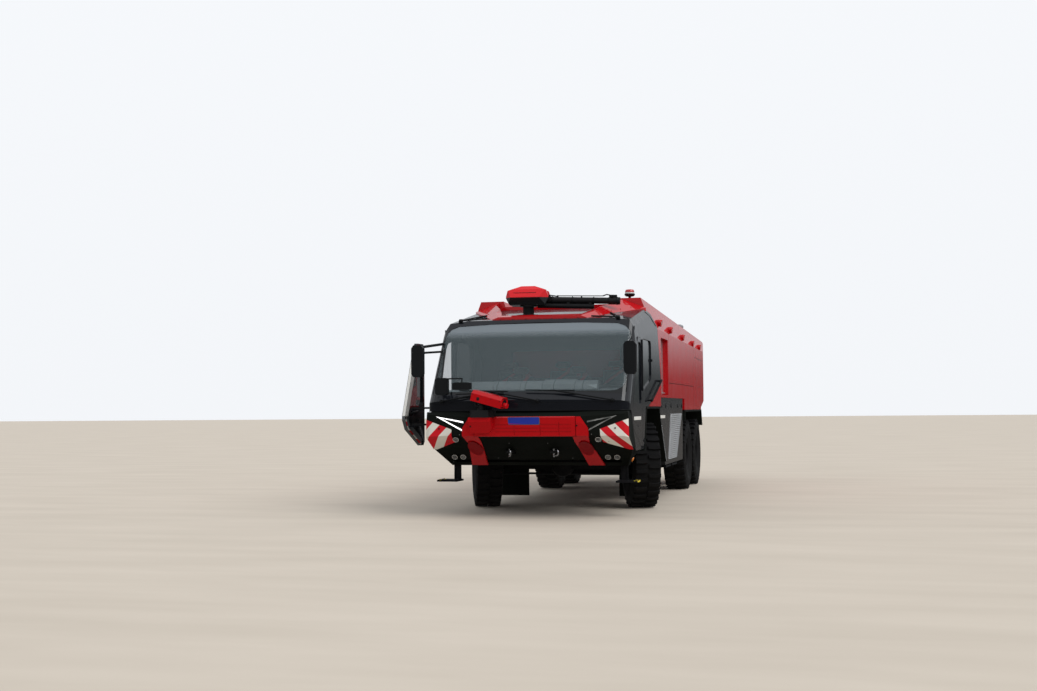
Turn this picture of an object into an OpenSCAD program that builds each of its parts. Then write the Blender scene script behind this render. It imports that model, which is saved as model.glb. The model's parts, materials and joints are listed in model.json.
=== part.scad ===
// Airport fire truck with three driven axles, a roof turret and a bumper monitor.
// Millimetres. The nose faces -Y, +X is the truck's left side and +Z is up.
// The right door stands open and the front wheels are steered to the left.

/* [Body] */
// Width over the cab and the body sides
body_w = 2970; // [2900:10:3040]
// Distance from the middle of the truck to the front of the cab's nose
nose_y = 5550; // [5480:10:5620]
// Distance from the middle of the truck to the flat tail
tail_y = 5500; // [5400:10:5600]
// Height of the body's flat sides
body_side_z = 2868; // [2800:4:2900]
// Height of the roof crest at the front of the body
crest_z = 3320; // [3280:5:3340]
// Width of the seam between two panels
seam = 8; // [6:1:12]

/* [Cab] */
// Thickness of the cab's walls
cab_wall = 55; // [45:1:65]
// Thickness of the window glass
glass_t = 12; // [8:1:16]
// Slope of the windscreen, in degrees from upright
rake = 35; // [33:0.5:37]
// Height of the windscreen's lower edge
screen_z = 1790; // [1770:5:1810]
// Height of the cab's floor
floor_z = 1250; // [1230:5:1270]
// Gap round a closed door
door_gap = 8; // [6:1:10]
// Length of the arms that carry a door
arm_len = 700; // [660:5:720]
// Angle that an open door's arms have turned through
door_open = 75; // [60:1:80]

/* [Axles and wheels] */
// Distance of the front axle ahead of the middle
front_axle = 3000; // [2960:10:3040]
// Distance of the second axle behind the middle
second_axle = 1780; // [1740:10:1820]
// Distance between the two rear axles
bogie = 1620; // [1580:10:1660]
// Outer radius of a tyre
tyre_r = 670; // [640:5:680]
// Width of a tyre
tyre_w = 440; // [400:5:450]
// Radius of the rim's seat
rim_r = 262; // [255:1:270]
// Distance of a wheel's middle from the truck's centre plane
track_half = 1262; // [1250:1:1270]
// Distance of a kingpin from the truck's centre plane
kingpin_in = 217; // [210:1:230]
// Radius of a kingpin
kingpin_r = 32; // [26:1:36]
// Radius of the spindle that a wheel turns on
spindle_r = 60; // [50:1:66]
// Running clearance of shafts in their bores
running = 0.3; // [0.2:0.1:0.6]
// Angle that the front wheels are steered to the left
steer = 19.5; // [0:0.5:30]

/* [Chassis] */
// Distance of a frame rail's outer face from the centre plane
rail_x = 430; // [410:5:450]
// Height of the frame rails' upper face
rail_z = 1150; // [1130:5:1160]
// Depth of a frame rail
rail_h = 260; // [220:5:280]
// Thickness of the rail's steel
rail_t = 14; // [10:1:20]
// Radius of the eyes in the front tow plates
tow_r = 26; // [22:1:30]
// Thickness of a front tow plate
tow_t = 40; // [30:1:50]
// Radius of the eye in the rear tow plate
hitch_r = 25; // [20:1:30]
// Thickness of the rear tow plate
hitch_t = 40; // [30:1:50]

/* [Turret and monitor] */
// Distance of the turret's turning axis to the right of the centre plane
turret_x = 325; // [300:5:350]
// Distance of the turret's turning axis ahead of the middle
turret_y = 3930; // [3900:10:3960]
// Height of the turret barrel's axis
turret_z = 3269; // [3255:1:3270]
// Angle of the turret barrel behind the straight left direction
turret_yaw = 5; // [0:1:10]
// Angle that the turret barrel droops
turret_dip = 2; // [0:0.5:4]
// Reach of the turret barrel from the turning axis
barrel_reach = 1430; // [1380:10:1450]
// Radius of the turret barrel
barrel_r = 50; // [45:1:56]
// Distance of the monitor's turning axis to the right of the centre plane
monitor_x = 600; // [580:5:620]
// Angle of the bumper monitor ahead of the straight left direction
monitor_yaw = 15; // [0:1:30]
// Angle that the bumper monitor points down
monitor_dip = 14; // [0:1:20]

/* [Hidden] */
$fn = 48;

half_w = body_w / 2;
kingpin_x = track_half - kingpin_in;
third_axle = second_axle + bogie;
// The mirrors reach furthest to the left, and the open door furthest to the right
mirror_out = half_w + 150;
door_out = half_w + arm_len * sin(door_open);
// Place of the truck's centre plane, which keeps the origin under the middle of the whole
// The left side reaches as far as its mirror or the turned front tyre
lug_reach = 0.45;
lug_wide = 6;
tyre_out = kingpin_x + (kingpin_in + tyre_w * lug_reach) * cos(steer)
  + tyre_r / cos(lug_wide) * sin(steer);
centre_x = (door_out - max(mirror_out, tyre_out)) / 2;
// Bumper monitor: place of its turning axis, and the size of its shroud
monitor_y = nose_y + 155;
shroud_len = 380;
shroud_w = 95;
// Bar under the tail, and how far it stands out behind it
bar_out = 150;
front_reach = monitor_y + (shroud_len * cos(monitor_dip) + 60 * sin(monitor_dip)) * sin(monitor_yaw)
  + shroud_w * cos(monitor_yaw);
back_reach = tail_y + bar_out + 20;
centre_y = (front_reach - back_reach) / 2;

red = "firebrick";
black = "#15171a";
dark = "#2b302f";
steel = "silver";
tint = [0.35, 0.45, 0.5, 0.5];

module at() translate([centre_x, centre_y, 0]) children();
module both() {
  children();
  mirror([1, 0, 0]) children();
}
// Prisms whose outline lies across X, Y or Z
module prism_x(pts, x0, x1) translate([x0, 0, 0]) rotate([90, 0, 90]) linear_extrude(x1 - x0) polygon(pts);
module prism_y(pts, y0, y1) translate([0, y1, 0]) rotate([90, 0, 0]) linear_extrude(y1 - y0) polygon(pts);
module prism_z(pts, z0, z1) translate([0, 0, z0]) linear_extrude(z1 - z0) polygon(pts);
module box(x0, x1, y0, y1, z0, z1) translate([x0, y0, z0]) cube([x1 - x0, y1 - y0, z1 - z0]);
module rod_x(r, x0, x1) translate([x0, 0, 0]) rotate([0, 90, 0]) cylinder(r = r, h = x1 - x0);
module rod_y(r, y0, y1) translate([0, y0, 0]) rotate([-90, 0, 0]) cylinder(r = r, h = y1 - y0);
// A straight round bar between two points
module bar(p, q, r) {
  d = q - p;
  translate(p) rotate([0, acos(d[2] / norm(d)), atan2(d[1], d[0])]) cylinder(r = r, h = norm(d));
}
// An outline mirrored about its own upright axis
function mirrored(pts) = concat(pts, [for (i = [len(pts) - 1:-1:0]) if (pts[i][0] != 0) [-pts[i][0],
  pts[i][1]]]);

// Plan of the nose: half width w, bow of the front, corner radius r, wall inset t
function plan_half(w, bow, r, t, back) = concat(
  [[0, t], [(w - r) / 2, bow / 4 + t]],
  [for (i = [0:5]) [w - r + (r - t) * sin(18 * i), bow + r - (r - t) * cos(18 * i)]],
  [[w - t, back]]);
bow = 60;
corner_r = 150;
module nose_prism(t, z0, z1) translate([0, -nose_y, 0])
  prism_z(mirrored(plan_half(half_w, bow, corner_r, t, 4400)), z0, z1);
// The windscreen's surface rises along the rake from the top of the nose
screen_y = nose_y - 60;
module screen_frame() translate([0, -screen_y, screen_z]) rotate([-rake, 0, 0]) children();
module screen_prism(t) screen_frame()
  prism_z(mirrored(plan_half(half_w, bow, corner_r, t, 5200)), -2400, 3200);
// Cross section of the cab above its flat sides, from the shoulder to the crown
shoulder_z = 2560;
roof_y = nose_y - 1130;
roof_rise = 10;
function shoulder_half(t) = [
  [0, 390 - t], [half_w - 420, 385 - t], [half_w - 110 - t * 0.5, 350 - t],
  [half_w - 40 - t * 0.9, 240 - t * 0.4], [half_w - t, 0], [half_w - t, -2600]];
module shoulder_prism(t) translate([0, -roof_y, shoulder_z]) rotate([roof_rise, 0, 0])
  prism_y(mirrored(shoulder_half(t)), -1800, 2600);
module cab_form(t) intersection() {
  nose_prism(t, 700, 3600);
  screen_prism(t);
  shoulder_prism(t);
}

// Side view of the cab, from the foot of the nose round to the back edge
fender_top = 1590;
arch_front = front_axle + 1060;
cab_low = 960;
chin = [[-nose_y + 270, 1545], [-nose_y + 560, 1100], [-nose_y + 640, cab_low]];
cab_side = [
  [-nose_y - 200, 1545], chin[0], chin[1], chin[2],
  [-arch_front - 20, cab_low], [-arch_front + 215, fender_top + seam], [-front_axle - 560,
    fender_top + seam],
  [-front_axle + 880, 2010], [-front_axle + 500, 2880], [-front_axle - 150, 3150],
  [-front_axle - 150, 3600], [-nose_y - 200, 3600]];
back_y = front_axle - 260;
// Only the cab's side skins reach back past its rear wall
skin_t = 90;
cab_core = concat([for (i = [0:5]) cab_side[i]], [[-back_y + cab_wall, fender_top + seam],
  [-back_y + cab_wall, 3000], [-front_axle - 150, 3150], [-front_axle - 150, 3600], [-nose_y - 200, 3600]]);
cab_room = [
  [-nose_y - 200, 1600], [-nose_y + 330, 1600], [-nose_y + 560, floor_z], [-arch_front - 75, floor_z],
  [-arch_front + 200, 1650], [-back_y, 1650], [-back_y, 2800], [-front_axle - 200, 3000],
  [-front_axle - 200, 3500], [-nose_y - 200, 3500]];
// The cab's roof panel parts from its walls along this line
roof_line = [[-nose_y - 200, 2880], [-roof_y - 250, 2880], [-front_axle - 250, 3060], [-front_axle + 300,
  3060],
  [-front_axle + 300, 3700], [-nose_y - 200, 3700]];

// Side view of a door and of its window
door_outline = [
  [-nose_y + 385, 1480], [-nose_y + 910, 2540], [-nose_y + 990, 2620], [-nose_y + 1265, 2620],
  [-nose_y + 1320, 2560], [-nose_y + 1320, 1070], [-nose_y + 1260, 1010], [-nose_y + 1130, 1010],
  [-nose_y + 500, 1270], [-nose_y + 385, 1415]];
door_window = [
  [-nose_y + 500, 1640], [-nose_y + 955, 2510], [-nose_y + 1010, 2550], [-nose_y + 1200, 2550],
  [-nose_y + 1245, 2510], [-nose_y + 1245, 1690], [-nose_y + 1195, 1640]];
rear_window = [
  [-arch_front - 60, 1900], [-arch_front - 60, 2560], [-arch_front, 2620], [-arch_front + 760, 2620],
  [-arch_front + 820, 2560], [-arch_front + 820, 2080], [-arch_front + 760, 2010], [-arch_front + 10,
    1850]];
// Windscreen outline: across, and up along its slope
screen_half = [
  [0, 30], [half_w - 90, 30], [half_w - 50, 90], [half_w - 50, 1040], [half_w - 85, 1170],
  [half_w - 160, 1255], [half_w - 270, 1300], [0, 1306]];

module outline_x(pts, grow) rotate([90, 0, 90]) linear_extrude(3600, center = true) offset(delta = grow)
  polygon(pts);
module screen_cut(grow) screen_frame() rotate([90, 0, 0])
  linear_extrude(900, center = true) offset(delta = grow) polygon(mirrored(screen_half));

module cab_walls() difference() {
  intersection() {
    cab_form(0);
    union() {
      prism_x(cab_core, -half_w + skin_t, half_w - skin_t);
      both() prism_x(cab_side, half_w - skin_t, half_w);
    }
  }
  intersection() {
    cab_form(cab_wall);
    prism_x(cab_room, -half_w + cab_wall, half_w - cab_wall);
  }
  screen_cut(0);
  // Both doorways and the rear side windows
  both() intersection() {
    outline_x(door_outline, door_gap);
    box(half_w - cab_wall - door_gap, half_w + 10, -nose_y, 0, 900, 2900);
  }
  outline_x(rear_window, 0);
  // Tunnel over the frame rails
  box(-rail_x - 60, rail_x + 60, -nose_y, -back_y + 800, 800, rail_z + 20);
}
// Where the cab's walls part: nose, roof, windscreen frame, floor and back wall
module nose_zone() box(-half_w - 10, half_w + 10, -nose_y - 200, -nose_y + 150, 1500, screen_z + 60);
module roof_zone() prism_x(roof_line, -half_w - 10, half_w + 10);
module frame_zone() screen_frame() box(-half_w - 10, half_w + 10, -100, corner_r + 65, -2400, 3200);
inner_x = half_w - cab_wall;
module floor_zone() box(-inner_x, inner_x, -nose_y - 200, -back_y, 800, 2450);
module back_zone() box(-inner_x, inner_x, -back_y, -back_y + 900, 800, 3600);
module cab_frame() at() color(black) difference() {
  intersection() {
    cab_walls();
    frame_zone();
  }
  nose_zone();
  roof_zone();
}
module cab_floor() at() color(black) difference() {
  intersection() {
    cab_walls();
    floor_zone();
  }
  nose_zone();
  frame_zone();
}
module cab_back() at() color(black) difference() {
  intersection() {
    cab_walls();
    back_zone();
  }
  roof_zone();
  // Window towards the body
  box(-900, 900, -back_y - 20, -back_y + 700, 2080, 2520);
}
module cab_sides() at() color(black) {
  difference() {
    cab_walls();
    nose_zone();
    roof_zone();
    frame_zone();
    floor_zone();
    back_zone();
  }
  // Upper bearing of each door post, on the pillar behind the door
  both() difference() {
    union() {
      box(hinge_x - 40, inner_x - door_gap, hinge_y - 40, hinge_y + 110, 1700, 1720);
      box(inner_x - door_gap - 1, inner_x + 5, hinge_y + 55, hinge_y + 110, 1690, 1730);
    }
    translate([hinge_x, hinge_y, 1650]) cylinder(r = post_r + running, h = 150);
  }
}
module cab_roof() at() color(black) difference() {
  intersection() {
    cab_walls();
    roof_zone();
  }
  nose_zone();
}
module nose_panel() at() color(black) intersection() {
  cab_walls();
  nose_zone();
}
module windscreen() at() color(tint) intersection() {
  difference() {
    screen_prism(6);
    screen_prism(6 + glass_t);
  }
  screen_cut(-0.5);
}
module cab_glass() at() color(tint) both() intersection() {
  outline_x(rear_window, -0.5);
  box(half_w - 20 - glass_t, half_w - 20, -nose_y, 0, 1700, 2900);
}

// Doors. A door and its arms are drawn closed on the left side, then moved.
hinge_x = half_w - 100;
hinge_y = -nose_y + 1285;
pin_y = hinge_y - arm_len;
arm_z = [1345, 1600];
arm_h = 30;
post_r = 22;
pin_r = 14;
door_t = cab_wall;
module door_panel() difference() {
  intersection() {
    prism_x(door_outline, half_w - door_t, half_w);
  }
  outline_x(door_window, 0);
}
module door_lugs() for (z = arm_z) difference() {
  union() {
    box(hinge_x, half_w - door_t, pin_y - 30, pin_y + 30, z - arm_h / 2 - 24, z - arm_h / 2 - 6);
    translate([hinge_x, pin_y, z - arm_h / 2 - 24]) cylinder(r = 30, h = 18);
    translate([hinge_x, pin_y, z - arm_h / 2 - 6]) cylinder(r = pin_r, h = arm_h + 6);
  }
}
module door() {
  door_panel();
  door_lugs();
}
module door_glass() intersection() {
  outline_x(door_window, -0.5);
  box(half_w - 18 - glass_t, half_w - 18, -nose_y, 0, 1500, 2900);
}
module door_arms() {
  for (z = arm_z) difference() {
    union() {
      box(hinge_x - 20, hinge_x + 20, pin_y, hinge_y, z - arm_h / 2, z + arm_h / 2);
      translate([hinge_x, pin_y, z - arm_h / 2]) cylinder(r = 28, h = arm_h);
      translate([hinge_x, hinge_y, z - arm_h / 2]) cylinder(r = 32, h = arm_h);
    }
    translate([hinge_x, pin_y, z - arm_h]) cylinder(r = pin_r + running, h = arm_h * 2);
  }
  translate([hinge_x, hinge_y, floor_z + 0.3]) cylinder(r = post_r, h = 1725 - floor_z);
}
// Where a door stands when its arms have turned out
open_shift = [arm_len * sin(door_open), arm_len * (1 - cos(door_open)), 0];
module door_left() at() color(black) door();
module door_glass_left() at() color(tint) door_glass();
module door_arms_left() at() color(dark) door_arms();
module door_right() at() color(black) mirror([1, 0, 0]) translate(open_shift) door();
module door_glass_right() at() color(tint) mirror([1, 0, 0]) translate(open_shift) door_glass();
module door_arms_right() at() color(dark) mirror([1, 0, 0])
  translate([hinge_x, hinge_y, 0]) rotate([0, 0, door_open]) translate([-hinge_x, -hinge_y, 0]) door_arms();

// Inside the cab
module dashboard() at() color("slategray") difference() {
  intersection() {
    cab_form(cab_wall + 0.3);
    prism_x([[-nose_y - 100, 1610], [-nose_y + 560, 1640], [-nose_y + 640, 1760], [-nose_y + 520, 1860],
      [-nose_y - 100, 1800]], -half_w + 180, half_w - 180);
  }
  column_place() translate([0, 0, -400]) cylinder(r = 26.3, h = 500);
}
wheel_x = 450;
module column_place() translate([wheel_x, -nose_y + 690, 1850]) rotate([-35, 0, 0]) children();
module steering_wheel() at() color(dark) column_place() {
  rotate_extrude() translate([215, 0]) circle(r = 17);
  translate([0, 0, -30]) cylinder(r = 60, h = 40);
  for (a = [90, 210, 330]) rotate([0, 0, a]) box(40, 208, -16, 16, -14, 8);
  translate([0, 0, -260]) cylinder(r = 26, h = 235);
}
seat_places = [[wheel_x, -nose_y + 1010, floor_z], [-wheel_x, -nose_y + 1010, floor_z],
  [wheel_x + 420, -back_y - 760, 1650], [0, -back_y - 760, 1650], [-wheel_x - 420, -back_y - 760, 1650]];
module seats() at() color("dimgray") for (s = seat_places) translate(s) {
  low = s[2] > floor_z ? 0.5 : 1;
  translate([-150, 60, 1]) cube([300, 340, 320 * low]);
  translate([-250, 0, 1 + 320 * low]) cube([500, 500, 130]);
  translate([0, 470, 131 + 320 * low]) rotate([-10, 0, 0]) {
    translate([-240, 0, 0]) cube([480, 110, 560 * (0.55 + 0.45 * low)]);
  }
}

// Front bumper: side view with its deeply cut-back lower face
bumper_top = 1538;
bumper_low = 735;
bumper_back = -nose_y + 1000;
bumper_face = [[-nose_y + 40, bumper_top], [-nose_y - 50, 1450], [-nose_y - 10, 1190], [-nose_y + 380,
  1000],
  [-nose_y + 860, bumper_low]];
chin_gap = 6;
module bumper_prism(t) intersection() {
  prism_x(concat([for (p = bumper_face) [p[0] - t, p[1] - (p[1] == bumper_low ? t : 0)]],
    [[bumper_back, bumper_low - t], [bumper_back, cab_low - chin_gap], [chin[2][0] - chin_gap,
      cab_low - chin_gap],
      [chin[1][0] - chin_gap, chin[1][1]], [chin[0][0] - chin_gap, bumper_top]]), -half_w - 20,
        half_w + 20);
  translate([0, -nose_y - 60, 0]) prism_z(mirrored(plan_half(half_w + 10, bow, 90, -t, 1500)), 600, 1700);
}
bumper_half = [[0, bumper_low], [half_w - 145, bumper_low], [half_w + 5, 1010], [half_w, 1440],
  [half_w - 15, bumper_top], [0, bumper_top]];
bumper_in = half_w - 225;
module front_view(pts) prism_y(pts, -nose_y - 400, -nose_y + 1100);
module bumper_solid(t) intersection() {
  bumper_prism(t);
  front_view(mirrored(bumper_half));
}
bumper_t = 50;
tow_x = 330;
tow_y = nose_y - 400;
tow_z = 930;
module front_bumper() at() color(dark) difference() {
  bumper_solid(0);
  // The moulding is hollow, open to the rear, and slotted for the tow plates
  intersection() {
    translate([0, bumper_t + 35, 0]) bumper_prism(0);
    box(-bumper_in, bumper_in, -nose_y - 100, bumper_back + 100, bumper_low + bumper_t,
      bumper_top - bumper_t);
  }
  box(-bumper_in, bumper_in, -nose_y + 700, bumper_back + 10, bumper_low + bumper_t, cab_low + 20);
  both() box(tow_x - 70, tow_x + 70, -nose_y + 100, -nose_y + 760, tow_z - 10, tow_z + tow_t + 10);
}
module bumper_skin(t, pts) intersection() {
  difference() {
    bumper_prism(t);
    bumper_prism(0.5);
  }
  front_view(pts);
}
flap_w = half_w - 745;
dish_x = flap_w + 86;
dish_z = 1020;
dish_r = 105;
trim_leg = [[flap_w + 8, 1460], [flap_w + 70, 1462], [flap_w + 180, 1300], [flap_w + 185, 1200],
  [flap_w + 160, 1090], [flap_w + 270, 740], [flap_w + 30, 740], [flap_w - 50, 1100], [flap_w - 50, 1176],
  [flap_w + 8, 1176]];
// Grooves pressed into the flap: [height, from, to] along it, then upright ones [place, from, to]
flap_grooves = [[1250, -flap_w + 320, flap_w - 60], [1300, -flap_w + 320, flap_w - 60],
  [1350, -flap_w + 320, flap_w - 60]];
flap_uprights = [-150, 230, 500];
groove = 9;
trim_flap = [[0, 1180], [flap_w, 1180], [flap_w, 1465], [0, 1465]];
module bumper_trim() at() color(red) {
  both() difference() {
    bumper_skin(26, trim_leg);
    translate([dish_x, -nose_y, dish_z]) rod_y(dish_r, -300, 900);
  }
  both() intersection() {
    bumper_skin(14, trim_leg);
    translate([dish_x, -nose_y, dish_z]) rod_y(dish_r - 1, -300, 900);
  }
  difference() {
    bumper_skin(30, mirrored(trim_flap));
    difference() {
      for (g = flap_grooves) box(g[1], g[2], -nose_y - 300, -nose_y + 100, g[0] - groove / 2,
        g[0] + groove / 2);
      bumper_prism(30 - groove);
    }
    difference() {
      for (x = flap_uprights) box(x, x + groove, -nose_y - 300, -nose_y + 100, 1200, 1380);
      bumper_prism(30 - groove);
    }
  }
  // Pod that carries the monitor
  difference() {
    prism_y([[-monitor_x - 180, 1230], [-monitor_x - 180, pod_top], [-monitor_x + 150, pod_top],
      [-monitor_x + 150, 1300], [-monitor_x + 90, 1230]], -monitor_y - 60, -nose_y + 100);
    bumper_prism(0.5);
    prism_x([[-monitor_y - 61, 1229], [-monitor_y - 61, 1400], [-monitor_y + 60, 1229]], -half_w, half_w);
  }
}
board = [[half_w - 399, 1286], [half_w - 3, 1428], [half_w + 3, 985], [half_w - 45, 985], [half_w - 392,
  1098]];
module hazard_boards() at() color("white") both() bumper_skin(10, board);
led_v = [[half_w - 580, 1400], [half_w - 160, 1474], [half_w - 560, 1262], [half_w - 555, 1288],
  [half_w - 240, 1448], [half_w - 580, 1376]];
lamp_r = 42;
lamp_spots = [[half_w - 439, 1150], [half_w - 395, 880], [half_w - 263, 880]];
module front_lamps() at() color("ghostwhite") {
  both() bumper_skin(8, led_v);
  both() for (p = lamp_spots) intersection() {
    bumper_prism(16);
    difference() {
      translate([p[0], -nose_y, p[1]]) rod_y(lamp_r, -300, 900);
      bumper_prism(0.5);
    }
  }
}

// Red frame on the cab's roof: a sloping front bar and two legs that rise to the body
visor_back = front_axle + 156;
visor_front = roof_y + 190;
visor_foot = half_w - 735;
visor_out = half_w - 85;
leg_run = [visor_out - visor_foot, visor_front - visor_back];
module leg_slope() translate([visor_foot, -visor_front, 2915]) rotate([0, 0, atan2(leg_run[1], leg_run[0])])
  rotate([0, -8.8, 0]) rotate([26, 0, 0]) box(-900, 3000, -1500, 1500, 0, 900);
module roof_visor() at() color(red) difference() {
  intersection() {
    prism_x([[-visor_front, 2700], [-visor_front, 2960], [-roof_y + 290, 3066], [-visor_back - 260,
      crest_z - 35],
      [-visor_back, crest_z - 25], [-visor_back, 2700]], -half_w, half_w);
    prism_z(mirrored([[0, -visor_front], [visor_foot, -visor_front], [visor_out, -visor_back],
      [0, -visor_back]]),
      2500, 3700);
  }
  both() leg_slope();
  intersection() {
    shoulder_prism(-0.5);
    screen_prism(-0.5);
  }
  // The open middle behind the bar
  prism_z(mirrored([[0, -visor_front + 150], [visor_foot - 130, -visor_front + 150], [visor_foot - 45,
    -roof_y + 285],
    [visor_out - 400, -visor_back - 200], [visor_out - 390, 0], [0, 0]]), 2500, 3700);
}

// Mirrors: [side, middle x, y, z, width, depth, height]
mirror_list = [
  [1, half_w + 62, -nose_y - 150, 2272, 176, 90, 460],
  [-1, half_w + 62, -nose_y - 150, 2272, 176, 90, 460],
  [-1, 1225, -nose_y - 20, 1905, 190, 80, 250],
  [-1, 885, -nose_y - 150, 1905, 270, 80, 110]];
module shell_box(w, d, h) intersection() {
  cube([w, d, h], center = true);
  rotate([90, 0, 0]) linear_extrude(d, center = true)
    polygon(mirrored([[w * 0.32, -h / 2], [w / 2, -h * 0.4],
    [w / 2, h * 0.4], [w * 0.32, h / 2]]));
}
module mirrors() at() color(black) {
  for (m = mirror_list) translate([m[0] * m[1], m[2], m[3]]) shell_box(m[4], m[5], m[6]);
  difference() {
    union() {
      for (s = [-1, 1]) {
        bar([s * (half_w - 60), -nose_y + 700, 2560], [s * (half_w + 55), -nose_y - 140, 2470], 20);
        bar([s * (half_w - 60), -nose_y + 620, 2440], [s * (half_w + 55), -nose_y - 140, 2390], 16);
      }
      bar([-half_w + 100, -nose_y + 650, 2480], [-1230, -nose_y - 20, 2010], 14);
    }
    intersection() {
      screen_prism(-0.3);
      shoulder_prism(-0.3);
    }
  }
  bar([-1225, -nose_y - 20, 2015], [-885, -nose_y - 150, 2015], 10);
  bar([-885, -nose_y - 150, 2022], [-885, -nose_y - 150, 1940], 10);
}
wiper_list = [[-1250, 1690, -620, 1800], [190, 1690, -560, 1835], [1260, 1690, 420, 1835]];
module wipers() at() color(black) difference() {
  for (w = wiper_list) {
    side = abs(w[0]) > 1000 ? 55 : 0;
    translate([w[0], -nose_y + side, w[1]]) rod_y(26, -45, 40);
    bar([w[0], -nose_y + side - 34, w[1]], [w[2], -screen_y - 18, w[3]], 11);
    // Blade along the foot of the glass
    bar([w[2] + (w[2] > w[0] ? -420 : 300), -screen_y - 14, w[3] - 8], [w[2] + (w[2] > w[0] ? 300 : -420),
      -screen_y - 14, w[3] + 8], 9);
  }
  intersection() {
    nose_prism(-0.3, 700, 3600);
    screen_prism(-0.3);
  }
}

// Body behind the cab. Its crests fall towards the tail faster than the edges of its sides.
crest_fall = 1.9;
side_fall = 0.65;
crest_x = half_w - 175;
deck_x = half_w - 585;
deck_drop = 90;
function fallen(h, fall, y) = h - (y + front_axle) * tan(fall);
function crest_at(h, y) = fallen(h, crest_fall, y);
// A cross section that starts at the front axle and falls towards the tail
module falling(fall, pts) translate([0, -front_axle, 0]) multmatrix([[1, 0, 0, 0], [0, 1, 0, 0],
  [0, -tan(fall), 1, 0]])
  prism_y(mirrored(pts), -900, 10000);
module crest_prism(t) intersection() {
  falling(crest_fall, [[0, crest_z - deck_drop + t], [deck_x, crest_z - deck_drop + t],
    [deck_x + 30, crest_z + t],
    [half_w + 200, crest_z + t], [half_w + 200, 500]]);
  falling(side_fall, [[0, crest_z + 900], [crest_x - 333 + t, crest_z + 900],
    [half_w + t, body_side_z + t * 0.4],
    [half_w + t, 500]]);
}
body_side = [
  [-front_axle - 600, fender_top + seam], [-front_axle - 600, 3500], [tail_y, 3500], [tail_y, 1930],
  [third_axle + 700, 1580], [third_axle + 700, 1535], [second_axle - 660, 1535], [second_axle - 660, 1745],
  [-front_axle + 840, 1745], [-front_axle + 840, fender_top + seam]];
shutter = [-front_axle + 905, -front_axle + 1792, 1790, 2740];
shutter_deep = 87;
panel_seams = [-front_axle + 1900, third_axle - 650, third_axle - 250];
module body_form() intersection() {
  crest_prism(0);
  prism_x(body_side, -half_w, half_w);
  // The sides draw in towards the tail
  prism_z(mirrored([[0, -front_axle - 700], [half_w, -front_axle - 700], [half_w, third_axle + 1250],
    [half_w - 85, tail_y], [0, tail_y]]), 500, 4000);
}
module body_shell() at() color(red) {
  difference() {
    body_form();
    cab_space();
    both() box(half_w - shutter_deep - 24, half_w + 10, shutter[0], shutter[1], shutter[2], shutter[3]);
    // Seams between the side panels
    both() for (y = panel_seams) box(half_w - 12, half_w + 10, y - seam, y + seam, 1500, body_side_z);
    both() box(half_w - 12, half_w + 10, panel_seams[0], panel_seams[1], 2000 - seam, 2000 + seam);
  }
  // Cradle of the tank, on the frame rails
  box(-860, 860, -front_axle + 1000, third_axle + 300, rail_z + 0.3, 1745);
}
// The cab's outline with its seam, which the body keeps clear of
module cab_space() {
  both() prism_x(grown(cab_side), half_w - skin_t - seam, half_w + 10);
  prism_x(grown(cab_core), -half_w + skin_t - 1, half_w - skin_t + 1);
}
// The cab's outline, moved out by a seam at its lower and rear edges
function grown(pts) = [for (p = pts) [p[0] + (p[0] > -arch_front + 400 ? seam : 0),
  p[1] - (p[1] < 2050 ? seam : -seam)]];
slats = 24;
slat_h = (shutter[3] - shutter[2] - 0.6) / slats;
module roller_shutters() at() color(steel) both() translate([half_w - shutter_deep, 0, shutter[2] + 0.3])
  prism_y(concat([[-14, slats * slat_h], [-14, 0]],
    [for (i = [0:slats - 1], p = [[-5, 0], [-5, 0.12], [0, 0.2], [0, 0.92], [-5, 1]]) [p[0],
      (i + p[1]) * slat_h]]),
    shutter[0] + 0.3, shutter[1] - 0.3);

locker = [[-front_axle + 850, 1744.7], [second_axle - 790, 1744.7], [second_axle - 890, 610],
  [-front_axle + 1425, 610], [-front_axle + 850, 1262]];
locker_x = half_w - 20;
module side_lockers() at() color(black) both() prism_x(locker, 870.3, locker_x);
// Louvred panels on the lockers: a wide one, and a narrow one at the front
grilles = [
  [[second_axle - 1025, 1470], [second_axle - 2520, 1470], [second_axle - 2900, 690], [second_axle - 1850,
    690]],
  [[-front_axle + 970, 1290], [-front_axle + 890, 1290], [-front_axle + 1440, 665], [-front_axle + 1520,
    665]]];
louvres = 26;
louvre_h = 900 / louvres;
module louvre_sheet(depth) prism_y(concat([[0.3, 600 + louvres * louvre_h], [0.3, 600]],
  [for (i = [0:louvres - 1], p = [[3, 0], [depth, 0.15], [depth, 0.55], [3, 0.9]]) [p[0],
    600 + (i + p[1]) * louvre_h]]),
  -front_axle, second_axle);
module side_grilles() at() color(steel) both() translate([locker_x, 0, 0]) for (g = grilles)
  intersection() {
  louvre_sheet(14);
  prism_x(g, -10, 40);
}

band = 36;
arch_seat = fender_top + seam - 0.3;
front_arch = [[-arch_front, 930], [-front_axle - 820, arch_seat], [-front_axle + 586, arch_seat],
  [-front_axle + 788, 1309], [-front_axle + 1356, 669]];
rear_arch = [[second_axle - 640, 1330], [second_axle - 600, 1534.7], [third_axle + 690, 1534.7],
  [third_axle + 860, 1200]];
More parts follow.
